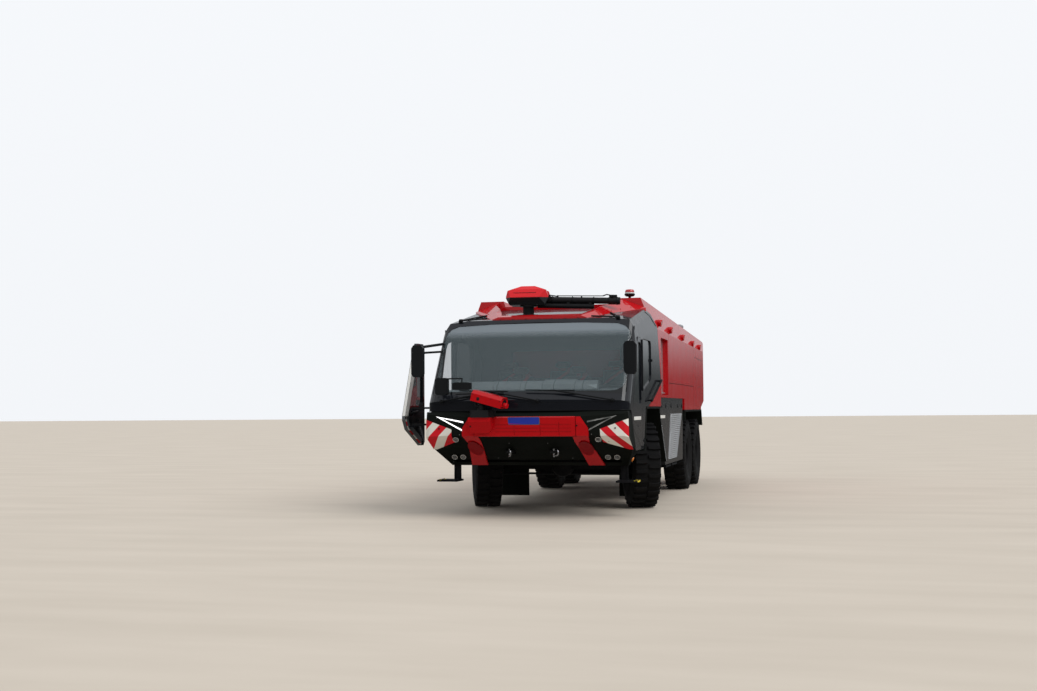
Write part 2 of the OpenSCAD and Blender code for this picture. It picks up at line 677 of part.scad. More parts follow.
// The band's inner edge: down from its top, and in from its ends
function band_in(p, i) = i < 2 ? [p[i][0] + band * (i == 0 ? 1 : 0.6), p[i][1] - (i == 0 ? 0 : band)]
  : [p[i][0] - band * (i == 2 ? 0.6 : 1.4), p[i][1] - (i == 2 ? band : 0)];
module arch_band(p, x0) prism_x(concat(p, [for (i = [len(p) - 1:-1:0]) band_in(p, i)]), x0, half_w + 8);
module fenders() at() color(black) both() {
  arch_band(front_arch, 1120);
  arch_band(rear_arch, 960);
  // Mud flaps behind the front and the last wheels
  box(770, 1266, -front_axle + 846, -front_axle + 860, 115, 1225);
  box(1060, half_w - 60, third_axle + 800, third_axle + 814, 280, 1262);
}

step_z = 560;
module steps() at() color(steel) {
  both() side_steps();
  ladder();
}
module side_steps() {
  for (y = [-front_axle + 1500, -front_axle + 2340]) {
    box(half_w - 240, half_w - 20, y, y + 640, step_z, step_z + 30);
    for (d = [60, 560]) box(half_w - 200, half_w - 180, y + d, y + d + 20, step_z + 30, 609.7);
  }
  // Step under each corner of the bumper
  difference() {
    box(half_w - 290, half_w + 20, -nose_y + 590, -nose_y + 950, 500, 525);
    for (i = [0:3]) box(half_w - 270, half_w, -nose_y + 620 + i * 70, -nose_y + 650 + i * 70, 512, 530);
  }
  for (x = [half_w - 265, half_w - 175]) box(x, x + 18, -nose_y + 900, -nose_y + 920, 525,
    bumper_low - 0.3);
  // Grab bar that climbs beside the rear edge of the cab
  for (e = [grab_low, grab_high]) difference() {
    bar([half_w - 6, e[0], e[1]], [half_w + 46, e[0], e[1]], 14);
    box(0, half_w + 0.3, -nose_y, 0, 1000, 3000);
  }
  bar([half_w + 46, grab_low[0] - 40, grab_low[1] - 12], [half_w + 46, grab_high[0] + 40,
    grab_high[1] + 12], 17);
}
grab_low = [-front_axle - 520, 1690];
grab_high = [-front_axle + 560, 2010];
// Ladder at the tail, and its brackets
ladder_x = [-700, -330];
module ladder() {
  for (x = ladder_x) {
    bar([x, tail_y + 110, 1230.3], [x, tail_y + 110, 2950], 17);
    for (z = [1500, 2850]) bar([x, tail_y + 110, z], [x, tail_y + (z > 2800 ? 0.3 : 50.3), z], 12);
  }
  for (i = [0:5]) translate([0, tail_y + 110, 1380 + i * 280]) rod_x(13, ladder_x[0], ladder_x[1]);
}

// Scene lights: [place along the truck, height]
scene_spots = [[-2117, 2980], [-740, 2942], [1047, 2905], [2700, 2868], [3950, 2850]];
module scene_lights() at() color(red) {
  both() difference() {
    for (p = scene_spots) translate([half_w - 10, p[0], p[1]]) rotate([0, 80, 0]) {
      translate([0, 0, -80]) cylinder(r1 = 40, r2 = 58, h = 60);
      translate([0, 0, -20]) cylinder(r = 58, h = 55);
    }
    crest_prism(0.3);
  }
  // Beacon on its stem
  difference() {
    translate([half_w - 375, -front_axle + 60, crest_z - 30]) {
      cylinder(r = 22, h = 95);
      translate([0, 0, 70]) cylinder(r1 = 66, r2 = 84, h = 40);
      translate([0, 0, 110]) cylinder(r = 84, h = 32);
      translate([0, 0, 142]) cylinder(r1 = 76, r2 = 60, h = 46);
    }
    crest_prism(0.3);
  }
}

module tail_panel() at() color(dark) {
  // Roller door of the pump room: a frame round its slats
  difference() {
    box(-900, 900, tail_y + 0.3, tail_y + 50, 1980, 2780);
    box(-850, 850, tail_y + 20, tail_y + 60, 2020, 2740);
  }
  for (i = [0:17]) box(-851, 851, tail_y + 19, tail_y + 32, 2020 + i * 40, 2050 + i * 40);
  box(-half_w + 235, half_w - 235, tail_y - 260, tail_y + bar_out, 1100, 1230);
  both() box(rail_x - 80, rail_x - rail_t - 10, tail_y - 329.7, tail_y - 260, 1120, 1210);
}
module tail_lamps() at() color("darkred") both() {
  box(half_w - 405, half_w - 125, tail_y + 0.3, tail_y + 40, 2050, 2200);
  box(half_w - 445, half_w - 255, tail_y + bar_out + 0.3, tail_y + bar_out + 20, 1120, 1200);
}
vent_y = 3000;
module roof_fittings() at() color(steel) {
  difference() {
    union() {
      translate([700, 600, crest_at(crest_z - deck_drop, 600) + 35]) rod_y(60, 0, 900);
      box(-500, 500, -1500, -600, 3000, crest_at(crest_z - deck_drop, -1000) + 60);
      // Bent vent pipe beside the crest
      translate([half_w - 300, vent_y, crest_at(crest_z, vent_y) - 30]) {
        cylinder(r = 30, h = 190);
        translate([0, -20, 160]) rod_y(28, 0, 330);
        translate([0, 310, 160]) rod_y(42, 0, 30);
      }
    }
    crest_prism(0.3);
  }
}

// Turret
head_low = -110;
module turret_base() at() color(black) translate([-turret_x, -turret_y, 0]) difference() {
  union() {
    translate([0, 0, 2900]) cylinder(r = 190, h = 130);
    translate([0, 0, 2900]) cylinder(r = 85, h = turret_z + head_low - 0.3 - 2900);
  }
  translate([turret_x, turret_y, 0]) shoulder_prism(-0.3);
}
module turret_yawed() at() translate([-turret_x, -turret_y, turret_z]) rotate([0, 0, turret_yaw])
  children();
// Faceted hood: half plan [along the barrel, across], lower pan and upper hood
hood = [[-330, 150], [-250, 240], [200, 240], [330, 170]];
function both_sides(pts) = concat(pts, [for (i = [len(pts) - 1:-1:0]) [pts[i][0], -pts[i][1]]]);
module turret_head() turret_yawed() color(red) {
  translate([0, 0, head_low]) cylinder(r = 130, h = 40);
  difference() {
    intersection() {
      prism_z(both_sides(hood), head_low + 20, 210);
      prism_y([[-270, head_low + 20], [-335, 25], [-300, 130], [-90, 204], [120, 204], [300, 140],
        [340, 25],
        [280, head_low + 20]], -300, 300);
      prism_x([[-190, head_low + 20], [-242, 25], [-190, 150], [-120, 210], [120, 210], [190, 150],
        [242, 25],
        [190, head_low + 20]], -400, 400);
    }
    box(40, 500, -105, 105, -160, 160);
    // Slot in the top for the raised barrel
    box(55, 500, -68, 68, 100, 300);
  }
}
module turret_barrel() turret_yawed() color(black) translate([pitch_x, 0, 0]) rotate([0, turret_dip, 0]) {
  rod_y(38, -104, 104);
  rod_x(barrel_r, 0, barrel_reach - pitch_x - 150);
  rod_x(barrel_r + 8, barrel_reach - pitch_x - 170, barrel_reach - pitch_x);
  // Second pipe under the first, with the straps that join them
  translate([0, 0, -88]) rod_x(40, 20, 900);
  for (x = [120, 480, 820]) box(x, x + 40, -36, 36, -100, 0);
}
pitch_x = 130;

// Bumper monitor
monitor_z = 1720;
pod_top = 1455;
module monitor_base() at() color(dark) translate([-monitor_x, -monitor_y, 0]) difference() {
  union() {
    prism_z([[-175, 20], [-120, -85], [120, -85], [175, 20], [175, 140], [-175, 140]], pod_top + 0.3, 1560);
    translate([0, 0, 1560]) cylinder(r = 60, h = 31.7);
  }
  translate([monitor_x, monitor_y, 0]) bumper_solid(30.3);
}
module monitor_at() at() translate([-monitor_x, -monitor_y, monitor_z]) rotate([0, 0, -monitor_yaw])
  children();
module monitor_head() monitor_at() color(dark) {
  translate([0, 0, 1592 - monitor_z]) cylinder(r = 60, h = 30);
  translate([0, 0, 1592 - monitor_z]) cylinder(r = 38, h = monitor_z - 1592 + 30);
  rod_y(26, -shroud_w + 1, shroud_w - 1);
}
module monitor_barrel() monitor_at() color(red) rotate([0, monitor_dip, 0]) difference() {
  union() {
    prism_x([[-shroud_w, -50], [-shroud_w, 60], [-60, 105], [60, 105], [shroud_w, 60], [shroud_w, -50]],
      -120, shroud_len);
    rod_x(36, shroud_len, shroud_len + 60);
  }
  // The shroud is open below and behind, and turns on the head's trunnions
  prism_x([[-shroud_w + 12, -60], [-shroud_w + 12, 52], [-52, 92], [52, 92], [shroud_w - 12, 52],
    [shroud_w - 12, -60]], -130, shroud_len - 60);
  rod_y(26 + running, -200, 200);
}

// Running gear
hitch_z = 1000;
module chassis_frame() at() color(dark) {
  both() difference() {
    box(rail_x - 90, rail_x, -nose_y + 730, tail_y - 330, rail_z - rail_h, rail_z);
    box(rail_x - 100, rail_x - rail_t, -nose_y + 700, tail_y - 300, rail_z - rail_h + rail_t,
      rail_z - rail_t);
  }
  for (y = [-nose_y + 785, -3700, -2300, -950.5, 900, 2590, 4050, tail_y - 420])
    box(-rail_x + rail_t, rail_x - rail_t, y - 50, y + 50, rail_z - rail_h + 40, rail_z - 40);
  // Rear tow plate with an upright eye
  difference() {
    box(-90, 90, tail_y - 370, tail_y + 90, hitch_z, hitch_z + hitch_t);
    translate([0, tail_y + 20, hitch_z]) translate([0, 0, -10]) cylinder(r = hitch_r, h = hitch_t + 20);
  }
  // Front tow plates with an upright eye each
  both() difference() {
    union() {
      box(330 - 50, 330 + 50, -tow_y, -nose_y + 760, tow_z, tow_z + tow_t);
      translate([330, -tow_y, tow_z]) cylinder(r = 60, h = tow_t);
    }
    translate([330, -tow_y, tow_z - 10]) cylinder(r = tow_r, h = tow_t + 20);
  }
}

axle_z = tyre_r;
beam = 70;
module axles() at() color(dark) {
  // Steered front axle with its kingpins
  translate([0, -front_axle, axle_z]) {
    box(-kingpin_x + 60, kingpin_x - 60, -beam, beam, -beam, beam);
    sphere(r = 190);
    both() translate([kingpin_x, 0, 0]) {
      cylinder(r = 62, h = 150, center = true);
      cylinder(r = kingpin_r, h = 320, center = true);
      box(-70, 0, -50, 50, -60, 60);
    }
  }
  for (y = [second_axle, third_axle]) translate([0, y, axle_z]) {
    box(-track_half + 300, track_half - 300, -beam, beam, -beam, beam);
    sphere(r = 210);
    both() rod_x(spindle_r, track_half - 320, track_half + 60);
  }
}
spring_x = 640;
coils = 5;
// A coil spring with its damper inside, as rings on a rod
module spring(x, y, z0, z1) translate([x, y, z0]) {
  pitch = (z1 - z0) / coils;
  rotate_extrude() polygon(concat([[0, z1 - z0], [0, 0]],
    [for (i = [0:coils - 1], p = [[85, 0.1], [92, 0.25], [85, 0.4], [58, 0.5], [58, 0.95]]) [p[0],
      (i + p[1]) * pitch]]));
}
module suspension() at() color("gray") both() {
  for (y = [-front_axle, second_axle, third_axle]) {
    spring(spring_x, y, axle_z + beam + 0.3, rail_z - 60);
    box(rail_x + 0.3, spring_x + 100, y - 70, y + 70, rail_z - 60, rail_z - 2);
    // Link from the axle up to the frame
    bar([spring_x, y + beam + 19.4, axle_z], [rail_x + 34, y + 470, rail_z - 120], 26);
  }
}
module drive_line() at() color("gray") {
  box(-260, 260, -900, -300, 720, 1080);
  bar([0, -front_axle + 191, axle_z], [0, -900, 800], 50);
  bar([0, -300, 800], [0, second_axle - 211, axle_z], 50);
  bar([0, second_axle + 211, axle_z], [0, third_axle - 211, axle_z], 50);
}
module engine_block() at() color("gray") box(-330, 330, 4100.5, tail_y - 470.5, 760, 1500);

// Steering: each knuckle is drawn straight ahead about its kingpin, then turned
arm_back = 205;
tie_z = -150;
ear_z = 75 + 5;
module knuckle() {
  difference() {
    union() {
      for (s = [-1, 1]) translate([0, 0, s > 0 ? ear_z : -ear_z - 60]) {
        cylinder(r = 58, h = 60);
        box(0, 112, -50, 50, 0, 60);
      }
      box(68, 112, -50, 50, -ear_z - 60, ear_z + 60);
      rod_x(spindle_r, 112, track_half - kingpin_x + 60);
      // Steering arm under the lower ear
      box(-30, 30, 0, arm_back, tie_z + 26, tie_z + 70);
      translate([0, arm_back, tie_z + 26]) cylinder(r = 36, h = 44);
    }
    cylinder(r = kingpin_r + running, h = 700, center = true);
    translate([0, arm_back, tie_z]) cylinder(r = 14 + running, h = 200, center = true);
  }
}
module left_pin() at() translate([kingpin_x, -front_axle, axle_z]) rotate([0, 0, steer]) children();
module right_pin() at() translate([-kingpin_x, -front_axle, axle_z]) rotate([0, 0, steer]) children();
module knuckle_left() left_pin() color(dark) knuckle();
module knuckle_right() right_pin() color(dark) mirror([1, 0, 0]) knuckle();
module tie_rod() at() color("gray")
  translate([-arm_back * sin(steer), -front_axle + arm_back * cos(steer), axle_z + tie_z]) {
    rod_x(18, -kingpin_x + 20, kingpin_x - 20);
    for (s = [-1, 1]) translate([s * kingpin_x, 0, 0]) {
      translate([0, 0, -20]) cylinder(r = 30, h = 40);
      cylinder(r = 14, h = 70);
    }
  }

// Wheels, drawn about the X axis with the outer face towards +X
// The carcass is a ring of flats, [radius, place across], with two staggered rows of lugs round it
lugs = 13;
lug_deep = 26;
groove_w = 9;
carcass = [[rim_r + running, 0.36], [rim_r + 26, 0.36], [tyre_r - 160, 0.50], [tyre_r - lug_deep - 20,
  lug_reach - 0.015]];
flat_out = 1 / cos(90 / lugs);
function ring_point(k, r, x) = [r * flat_out * cos(k * 180 / lugs), r * flat_out * sin(k * 180 / lugs),
  x * tyre_w];
module tyre_carcass() {
  rings = concat(carcass, [for (i = [len(carcass) - 1:-1:0]) [carcass[i][0], -carcass[i][1]]]);
  n = 2 * lugs;
  polyhedron([for (r = rings, k = [0:n - 1]) ring_point(k + 0.5, r[0], r[1])],
    [for (i = [0:len(rings) - 1], k = [0:n - 1])
      let (j = (i + 1) % len(rings), m = (k + 1) % n) [i * n + k, i * n + m, j * n + m, j * n + k]]);
}
// A toothed ring: each lug is as wide as twice this angle, and its face lies at the tyre's radius
module lug_row(turn, x0, x1) translate([0, 0, x0]) rotate([0, 0, turn]) linear_extrude(x1 - x0)
  difference() {
  polygon([for (i = [0:lugs - 1], p = [[0, -1], [1, -1], [1, 1], [0, 1]])
    let (a = i * 360 / lugs + p[1] * lug_wide, r = p[0] == 1 ? tyre_r / cos(lug_wide) : tyre_r - lug_deep)
    [r * cos(a), r * sin(a)]]);
  polygon([for (i = [0:lugs - 1]) (tyre_r - lug_deep - 60) * [cos(i * 360 / lugs), sin(i * 360 / lugs)]]);
}
module tyre() rotate([0, 90, 0]) {
  tyre_carcass();
  // A groove parts the two rows
  lug_row(0, groove_w, tyre_w * lug_reach);
  lug_row(180 / lugs, -tyre_w * lug_reach, -groove_w);
}
module rim() rotate([0, 90, 0]) rotate_extrude($fn = 96) polygon([
  [spindle_r + running, -60], [130, -60], [150, 10], [rim_r - 60, 30], [rim_r - 22, -60],
    [rim_r - 22, -tyre_w * 0.38],
  [rim_r + 18, -tyre_w * 0.38 - 10], [rim_r + 18, -tyre_w * 0.36 - 3], [rim_r, -tyre_w * 0.36 - 3],
  [rim_r, tyre_w * 0.36 + 3], [rim_r + 18, tyre_w * 0.36 + 3], [rim_r + 18, tyre_w * 0.38 + 10],
  [rim_r - 22, tyre_w * 0.38], [rim_r - 30, 60], [160, 46], [150, 90], [100, 110], [0, 110], [0, 62],
    [spindle_r + running, 62]]);
module front_left() left_pin() translate([track_half - kingpin_x, 0, 0]) children();
module front_right() right_pin() mirror([1, 0, 0]) translate([track_half - kingpin_x, 0, 0]) children();
module rear_left(y) at() translate([track_half, y, axle_z]) children();
module rear_right(y) at() mirror([1, 0, 0]) translate([track_half, y, axle_z]) children();

chassis_frame();
axles();
suspension();
drive_line();
engine_block();
cab_frame();
cab_sides();
cab_floor();
cab_back();
cab_roof();
nose_panel();
windscreen();
cab_glass();
dashboard();
steering_wheel();
seats();
front_bumper();
bumper_trim();
hazard_boards();
front_lamps();
roof_visor();
mirrors();
wipers();
body_shell();
roller_shutters();
side_lockers();
side_grilles();
fenders();
steps();
scene_lights();
tail_panel();
tail_lamps();
roof_fittings();
turret_base();
turret_head();
turret_barrel();
monitor_base();
monitor_head();
monitor_barrel();
tie_rod();
knuckle_left();
knuckle_right();
door_left();
door_right();
door_glass_left();
door_glass_right();
door_arms_left();
door_arms_right();
color(black) front_left() tyre();  // tyre_1_left
color(black) front_right() tyre();  // tyre_1_right
color(black) rear_left(second_axle) tyre();  // tyre_2_left
color(black) rear_right(second_axle) tyre();  // tyre_2_right
color(black) rear_left(third_axle) tyre();  // tyre_3_left
color(black) rear_right(third_axle) tyre();  // tyre_3_right
color(steel) front_left() rim();  // rim_1_left
color(steel) front_right() rim();  // rim_1_right
color(steel) rear_left(second_axle) rim();  // rim_2_left
color(steel) rear_right(second_axle) rim();  // rim_2_right
color(steel) rear_left(third_axle) rim();  // rim_3_left
color(steel) rear_right(third_axle) rim();  // rim_3_right
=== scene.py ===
# %% [markdown]
# # Airport fire truck
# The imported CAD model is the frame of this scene: its sixty nodes are already in place, in metres, with the
# nose towards -Y and the left side towards +X. This file gives every node a finish and adds what a CAD model
# leaves out: tread, bolts, lamps, padded seats, reflective tape and small fittings.
# Lengths are written as the drawing has them, in millimetres from the truck's own centre plane.

# %% Setup
import functools
import json
import math

import bmesh
import bpy
from mathutils import Matrix, Vector
from mathutils.bvhtree import BVHTree


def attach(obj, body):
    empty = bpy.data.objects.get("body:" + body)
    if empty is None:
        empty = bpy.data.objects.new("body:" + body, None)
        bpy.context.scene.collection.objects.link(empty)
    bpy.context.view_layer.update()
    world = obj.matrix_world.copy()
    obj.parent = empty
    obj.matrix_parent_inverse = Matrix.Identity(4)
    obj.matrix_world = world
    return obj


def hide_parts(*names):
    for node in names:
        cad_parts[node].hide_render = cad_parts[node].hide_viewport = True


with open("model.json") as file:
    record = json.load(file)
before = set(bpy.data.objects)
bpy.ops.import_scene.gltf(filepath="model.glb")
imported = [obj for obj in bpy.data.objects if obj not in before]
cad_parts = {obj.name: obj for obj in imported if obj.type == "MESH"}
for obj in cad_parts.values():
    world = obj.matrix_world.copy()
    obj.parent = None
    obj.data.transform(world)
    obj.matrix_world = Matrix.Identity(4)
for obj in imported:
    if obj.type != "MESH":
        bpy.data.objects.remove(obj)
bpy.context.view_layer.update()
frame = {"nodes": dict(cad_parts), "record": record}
NODES = frame["nodes"]
# Place of the truck's centre plane in the shared frame, as the CAD source works it out
CENTRE = Vector((0.250035, 0.112975, 0))
NOSE, HALF_W = 5550, 1485
HERE = Matrix.Identity(4)
ACROSS, BACK, UP = (1, 0, 0), (0, 1, 0), (0, 0, 1)
AHEAD, DOWN = (0, -1, 0), (0, 0, -1)
scene = bpy.context.scene


def place(x, y, z):
    """A point of the drawing, in millimetres, as a point of the scene."""
    return Vector((x, y, z)) / 1000 + CENTRE


def in_scene(name, data):
    """A new object on a mesh, a lamp or a camera, linked to the scene."""
    made = bpy.data.objects.new(name, data)
    scene.collection.objects.link(made)
    return made


def circle(radius, count):
    """Evenly spaced points round a circle, as pairs."""
    angles = [math.tau * k / count for k in range(count)]
    return [(radius * math.cos(a), radius * math.sin(a)) for a in angles]


# %% [markdown]
# The camera stands where the photographer stood: low, ahead of the truck and to its left. Its place and turn
# were solved once from points whose size is known, and are kept here as plain numbers.

# %% Camera
EYE = Vector((4.34816, -23.21721, 1.56878)) + CENTRE
YAW, PITCH, ROLL = 0.245834, 0.0498926, -0.0082312
FOCAL_PX, IMAGE_W = 1276.90, 1037
SENSOR = 36
ahead = Vector((-math.sin(YAW) * math.cos(PITCH), math.cos(YAW) * math.cos(PITCH), math.sin(PITCH)))
level = Vector((math.cos(YAW), math.sin(YAW), 0))
above = level.cross(ahead)
image_right = math.cos(ROLL) * level + math.sin(ROLL) * above
image_up = math.cos(ROLL) * above - math.sin(ROLL) * level
camera = in_scene("camera", bpy.data.cameras.new("camera"))
turned = Matrix((image_right, image_up, -ahead)).transposed().to_4x4()
camera.matrix_world = Matrix.Translation(EYE) @ turned
camera.data.sensor_width = SENSOR
camera.data.lens = SENSOR * FOCAL_PX / IMAGE_W
camera.data.clip_end = 500
scene.camera = camera
print("lens", round(camera.data.lens, 1), "mm")

# %% [markdown]
# Every finish is a small node tree on Object coordinates, so that nothing slides when a body moves. A Bench
# keeps one tree and its shader together: each method adds one habit of real surfaces, such as slow mottling
# of the colour, uneven gloss, grain or dust near the ground.


# %% Nodes and the bench for materials
def feed(tree, socket, value):
    """Gives an input a wire from another node, or a plain value."""
    if isinstance(value, bpy.types.NodeSocket):
        tree.links.new(value, socket)
    else:
        socket.default_value = value


def new_node(tree, kind, inputs=()):
    """A node whose inputs, by name or number, are each a wire or a value."""
    made = tree.nodes.new(kind)
    for key, value in dict(inputs).items():
        feed(tree, made.inputs[key], value)
    return made


def calculate(tree, operation, a, b=None):
    made = new_node(tree, "ShaderNodeMath", {0: a} if b is None else {0: a, 1: b})
    made.operation = operation
    return made.outputs["Value"]


class Bench:
    """A material under construction, with its tree and its shader's inputs."""

    def __init__(self, name, rough=0.5, metal=0.0, coat=0.0, gloss=0.5):
        self.material = bpy.data.materials.new(name)
        self.material.use_nodes = True
        self.tree = self.material.node_tree
        self.rough = rough
        for key, value in (("Roughness", rough), ("Metallic", metal), ("Coat Weight", coat),
                           ("Coat Roughness", 0.03), ("Specular IOR Level", gloss)):
            self.give(key, value)
        self.coord = self.node("ShaderNodeTexCoord").outputs["Object"]

    def give(self, key, value):
        """Sets an input of the shader."""
        feed(self.tree, self.tree.nodes["Principled BSDF"].inputs[key], value)

    def node(self, kind, inputs=()):
        return new_node(self.tree, kind, inputs)

    def math(self, operation, a, b=None):
        return calculate(self.tree, operation, a, b)

    def axis(self, letter):
        """One Object coordinate, in metres."""
        return self.node("ShaderNodeSeparateXYZ", {"Vector": self.coord}).outputs[letter]

    def noise(self, scale, detail=5.0, stretch=(1, 1, 1)):
        """Grey noise on Object coordinates, stretched along an axis where the surface has a grain."""
        mapped = self.node("ShaderNodeMapping", {"Scale": stretch, "Vector": self.coord}).outputs["Vector"]
        cloud = self.node("ShaderNodeTexNoise", {"Scale": scale, "Detail": detail, "Vector": mapped})
        return cloud.outputs["Fac"]

    def ramp(self, value, low, high, start=0.0, end=1.0):
        ends = {"From Min": low, "From Max": high, "To Min": start, "To Max": end}
        return self.node("ShaderNodeMapRange", {"Value": value, **ends}).outputs["Result"]

    def blend(self, factor, first, second):
        """Mixes two colours, each a wire or three numbers."""
        pair = [c if isinstance(c, bpy.types.NodeSocket) else (*c, 1) for c in (first, second)]
        return self.node("ShaderNodeMixRGB", {0: factor, 1: pair[0], 2: pair[1]}).outputs["Color"]

    def mottled(self, colour, depth=0.06, scale=2.5):
        """The colour, a little darker here and lighter there, and the gloss with it."""
        cloud = self.noise(scale)
        self.give("Roughness", self.ramp(cloud, 0.3, 0.7, self.rough * 0.82, self.rough * 1.18))
        return self.blend(cloud, [c * (1 - depth) for c in colour], [min(c * (1 + depth), 1) for c in colour])

    def dusty(self, colour, top, amount=0.35, dust=(0.20, 0.175, 0.145)):
        """Dust that settles on what is near the ground, up to a height in metres."""
        low = self.ramp(self.axis("Z"), top, 0.1, 0.0, amount)
        return self.blend(self.math("MULTIPLY", low, self.noise(9.0)), colour, dust)

    def grain(self, strength, scale, distance=0.002, height=None):
        """Bump from fine noise, or from a height of one's own."""
        bump = self.node("ShaderNodeBump", {"Strength": strength, "Distance": distance,
                                            "Height": height or self.noise(scale, 3.0)})
        self.give("Normal", bump.outputs["Normal"])

    def done(self, colour):
        self.give("Base Color", colour)
        return self.material


# %% [markdown]
# The body is sprayed in a deep red under clear lacquer, and the cab in black. Lacquer on large panels is
# never quite flat: a faint orange peel in the bump breaks the mirror of the sky, which keeps the sides from
# turning into plain white at a low angle.

# %% Paints
red = Bench("red_paint", rough=0.42, coat=0.7, gloss=0.02)
red.grain(0.05, 3.0, 0.002)
RED = red.done(red.dusty(red.mottled((0.44, 0.003, 0.006), 0.07), 0.9, 0.08))

black = Bench("black_paint", rough=0.4, coat=0.7, gloss=0.05)
black.grain(0.03, 2.0, 0.002)
BLACK = black.done(black.dusty(black.mottled((0.005, 0.006, 0.009), 0.25), 0.9, 0.06))

# The hood of the turret is red above a black lower pan: its two coats meet at one height
PAN_TOP = 3.292
hood = Bench("hood_paint", rough=0.4, coat=0.4, gloss=0.1)
hood.grain(0.1, 4.0)
above_pan = hood.math("GREATER_THAN", hood.axis("Z"), PAN_TOP)
HOOD = hood.done(hood.blend(above_pan, (0.010, 0.011, 0.012), hood.mottled((0.62, 0.010, 0.016))))
print("paints:", RED.name, BLACK.name, HOOD.name)


# %% [markdown]
# Below the paint come the plain working materials: grained moulding on the bumper, cast iron and painted
# steel under the frame, brushed alloy on slats, black rubber, and the grey plastic inside the cab.

# %% Working materials
def working(name, colour, rough, metal=0.0, coat=0.0, depth=0.12, scale=3.0, bump=0.3, bump_scale=200.0,
            dust=0.0, stretch=None, gloss=0.3):
    """A plain material with mottling and grain. A stretch gives brushed metal its direction."""
    bench = Bench(name, rough, metal, coat, gloss)
    tone = bench.mottled(colour, depth, scale)
    if dust:
        tone = bench.dusty(tone, 1.2, dust)
    height = bench.noise(bump_scale, 2.0, stretch) if stretch else None
    bench.grain(bump, bump_scale, 0.001, height)
    return bench.done(tone)


MOULDING = working("grey_moulding", (0.006, 0.0075, 0.006), 0.65, bump=0.35, bump_scale=260, dust=0.02,
                   gloss=0.06)
STEEL = working("dark_steel", (0.011, 0.011, 0.012), 0.5, bump=0.2, bump_scale=90, gloss=0.15)
IRON = working("cast_iron", (0.006, 0.006, 0.007), 0.7, depth=0.25, bump=0.5, bump_scale=70, dust=0.05,
               gloss=0.1)
# A darker red that paints the shade in the hollows of the bumper's dishes
PAINTED_SHADE_RED = working("painted_shade_red", (0.22, 0.004, 0.007), 0.5, bump=0.1, bump_scale=40, gloss=0.1)
TREADPLATE = working("tread_plate", (0.007, 0.007, 0.008), 0.75, bump=0.5, bump_scale=60, gloss=0.1)
ALLOY = working("brushed_alloy", (0.60, 0.61, 0.62), 0.34, metal=0.9, bump=0.12, bump_scale=30,
                stretch=(1, 1, 30))
CHROME = working("bright_plating", (0.75, 0.76, 0.77), 0.14, metal=1.0, depth=0.05, bump=0.05)
RUBBER = working("tyre_rubber", (0.0055, 0.0055, 0.006), 0.78, depth=0.3, bump=0.35, bump_scale=120,
                 dust=0.05, gloss=0.1)
BLACK_PLASTIC = working("black_plastic", (0.006, 0.007, 0.008), 0.5, bump=0.3, bump_scale=300, gloss=0.15)
GREY_TRIM = working("grey_trim", (0.11, 0.12, 0.125), 0.4, metal=0.3, bump=0.1)
WEBBING = working("red_webbing", (0.42, 0.02, 0.03), 0.85, bump=0.6, bump_scale=700, stretch=(1, 1, 4))
AMBER = working("amber_lens", (0.75, 0.22, 0.02), 0.15, coat=0.6, bump=0.2, bump_scale=400)
RUBY = working("ruby_lens", (0.42, 0.006, 0.008), 0.12, coat=0.8, bump=0.25, bump_scale=300)
YELLOW = working("yellow_mark", (0.80, 0.62, 0.03), 0.5)
BLUE = working("plate_blue", (0.012, 0.030, 0.36), 0.38, coat=0.3, bump=0.15, bump_scale=500)
WHITE = working("white_mark", (0.72, 0.71, 0.67), 0.4, bump=0.25, bump_scale=600)
MIRROR = working("mirror_glass", (0.80, 0.82, 0.83), 0.03, metal=1.0, depth=0.02, bump=0.02)

# The dashboard's panels are parted by thin seams, which a brick pattern lays out
panels = Bench("dash_plastic", rough=0.6)
seams = panels.node("ShaderNodeTexBrick", {"Scale": 1.0, "Mortar Size": 0.006, "Brick Width": 0.42,
                                           "Row Height": 0.30, "Vector": panels.coord})
panels.grain(0.4, 300.0)
DASH = panels.done(panels.blend(seams.outputs["Fac"], panels.mottled((0.25, 0.30, 0.31)), (0.04, 0.05, 0.05)))

# Seat cover: two crossed waves make the weave, and a noise its worn places
weave = Bench("seat_cloth", rough=0.92)
weave.give("Sheen Weight", 0.4)
threads = [weave.math("SINE", weave.math("MULTIPLY", weave.axis(a), 1400.0)) for a in ("X", "Z")]
weave.grain(0.5, 1.0, 0.001, weave.math("MULTIPLY", threads[0], threads[1]))
CLOTH = weave.done(weave.blend(weave.noise(14.0), (0.030, 0.031, 0.034), (0.060, 0.060, 0.064)))
print("working materials ready")

# %% [markdown]
# Hazard boards carry red and white stripes that climb towards the middle of the truck, mirrored from side to
# side. The stripe's number comes from the sum of the height and the distance from the centre plane: along a
# line at 45 degrees that sum stays the same. The sheet is retroreflective, so its white has a fine mesh.


# %% Stripes
def stripes(name, width, start_left, start_right):
    """Red and white bands. Each start is the sum at which a red band begins, on one side of the truck."""
    bench = Bench(name, rough=0.5, gloss=0.12)
    across = bench.math("SUBTRACT", bench.axis("X"), CENTRE.x)
    total = bench.math("ADD", bench.math("ABSOLUTE", across), bench.axis("Z"))
    start = bench.ramp(bench.math("GREATER_THAN", across, 0.0), 0.0, 1.0, start_right, start_left)
    along = bench.math("DIVIDE", bench.math("SUBTRACT", total, start), 2 * width)
    is_red = bench.math("LESS_THAN", bench.math("FRACT", along), 0.5)
    bench.grain(0.3, 900.0, 0.0005)
    white = bench.mottled((0.70, 0.68, 0.62), 0.06, 6.0)
    return bench.done(bench.blend(is_red, white, (0.56, 0.010, 0.018)))


BOARD = stripes("hazard_stripes", 0.142, 2.66, 2.76)
# On the doors' edges the same sheet is a narrow tape, so the bands are narrower
TAPE = stripes("hazard_tape", 0.07, 2.0, 2.03)
print("stripes", BOARD.name, TAPE.name)
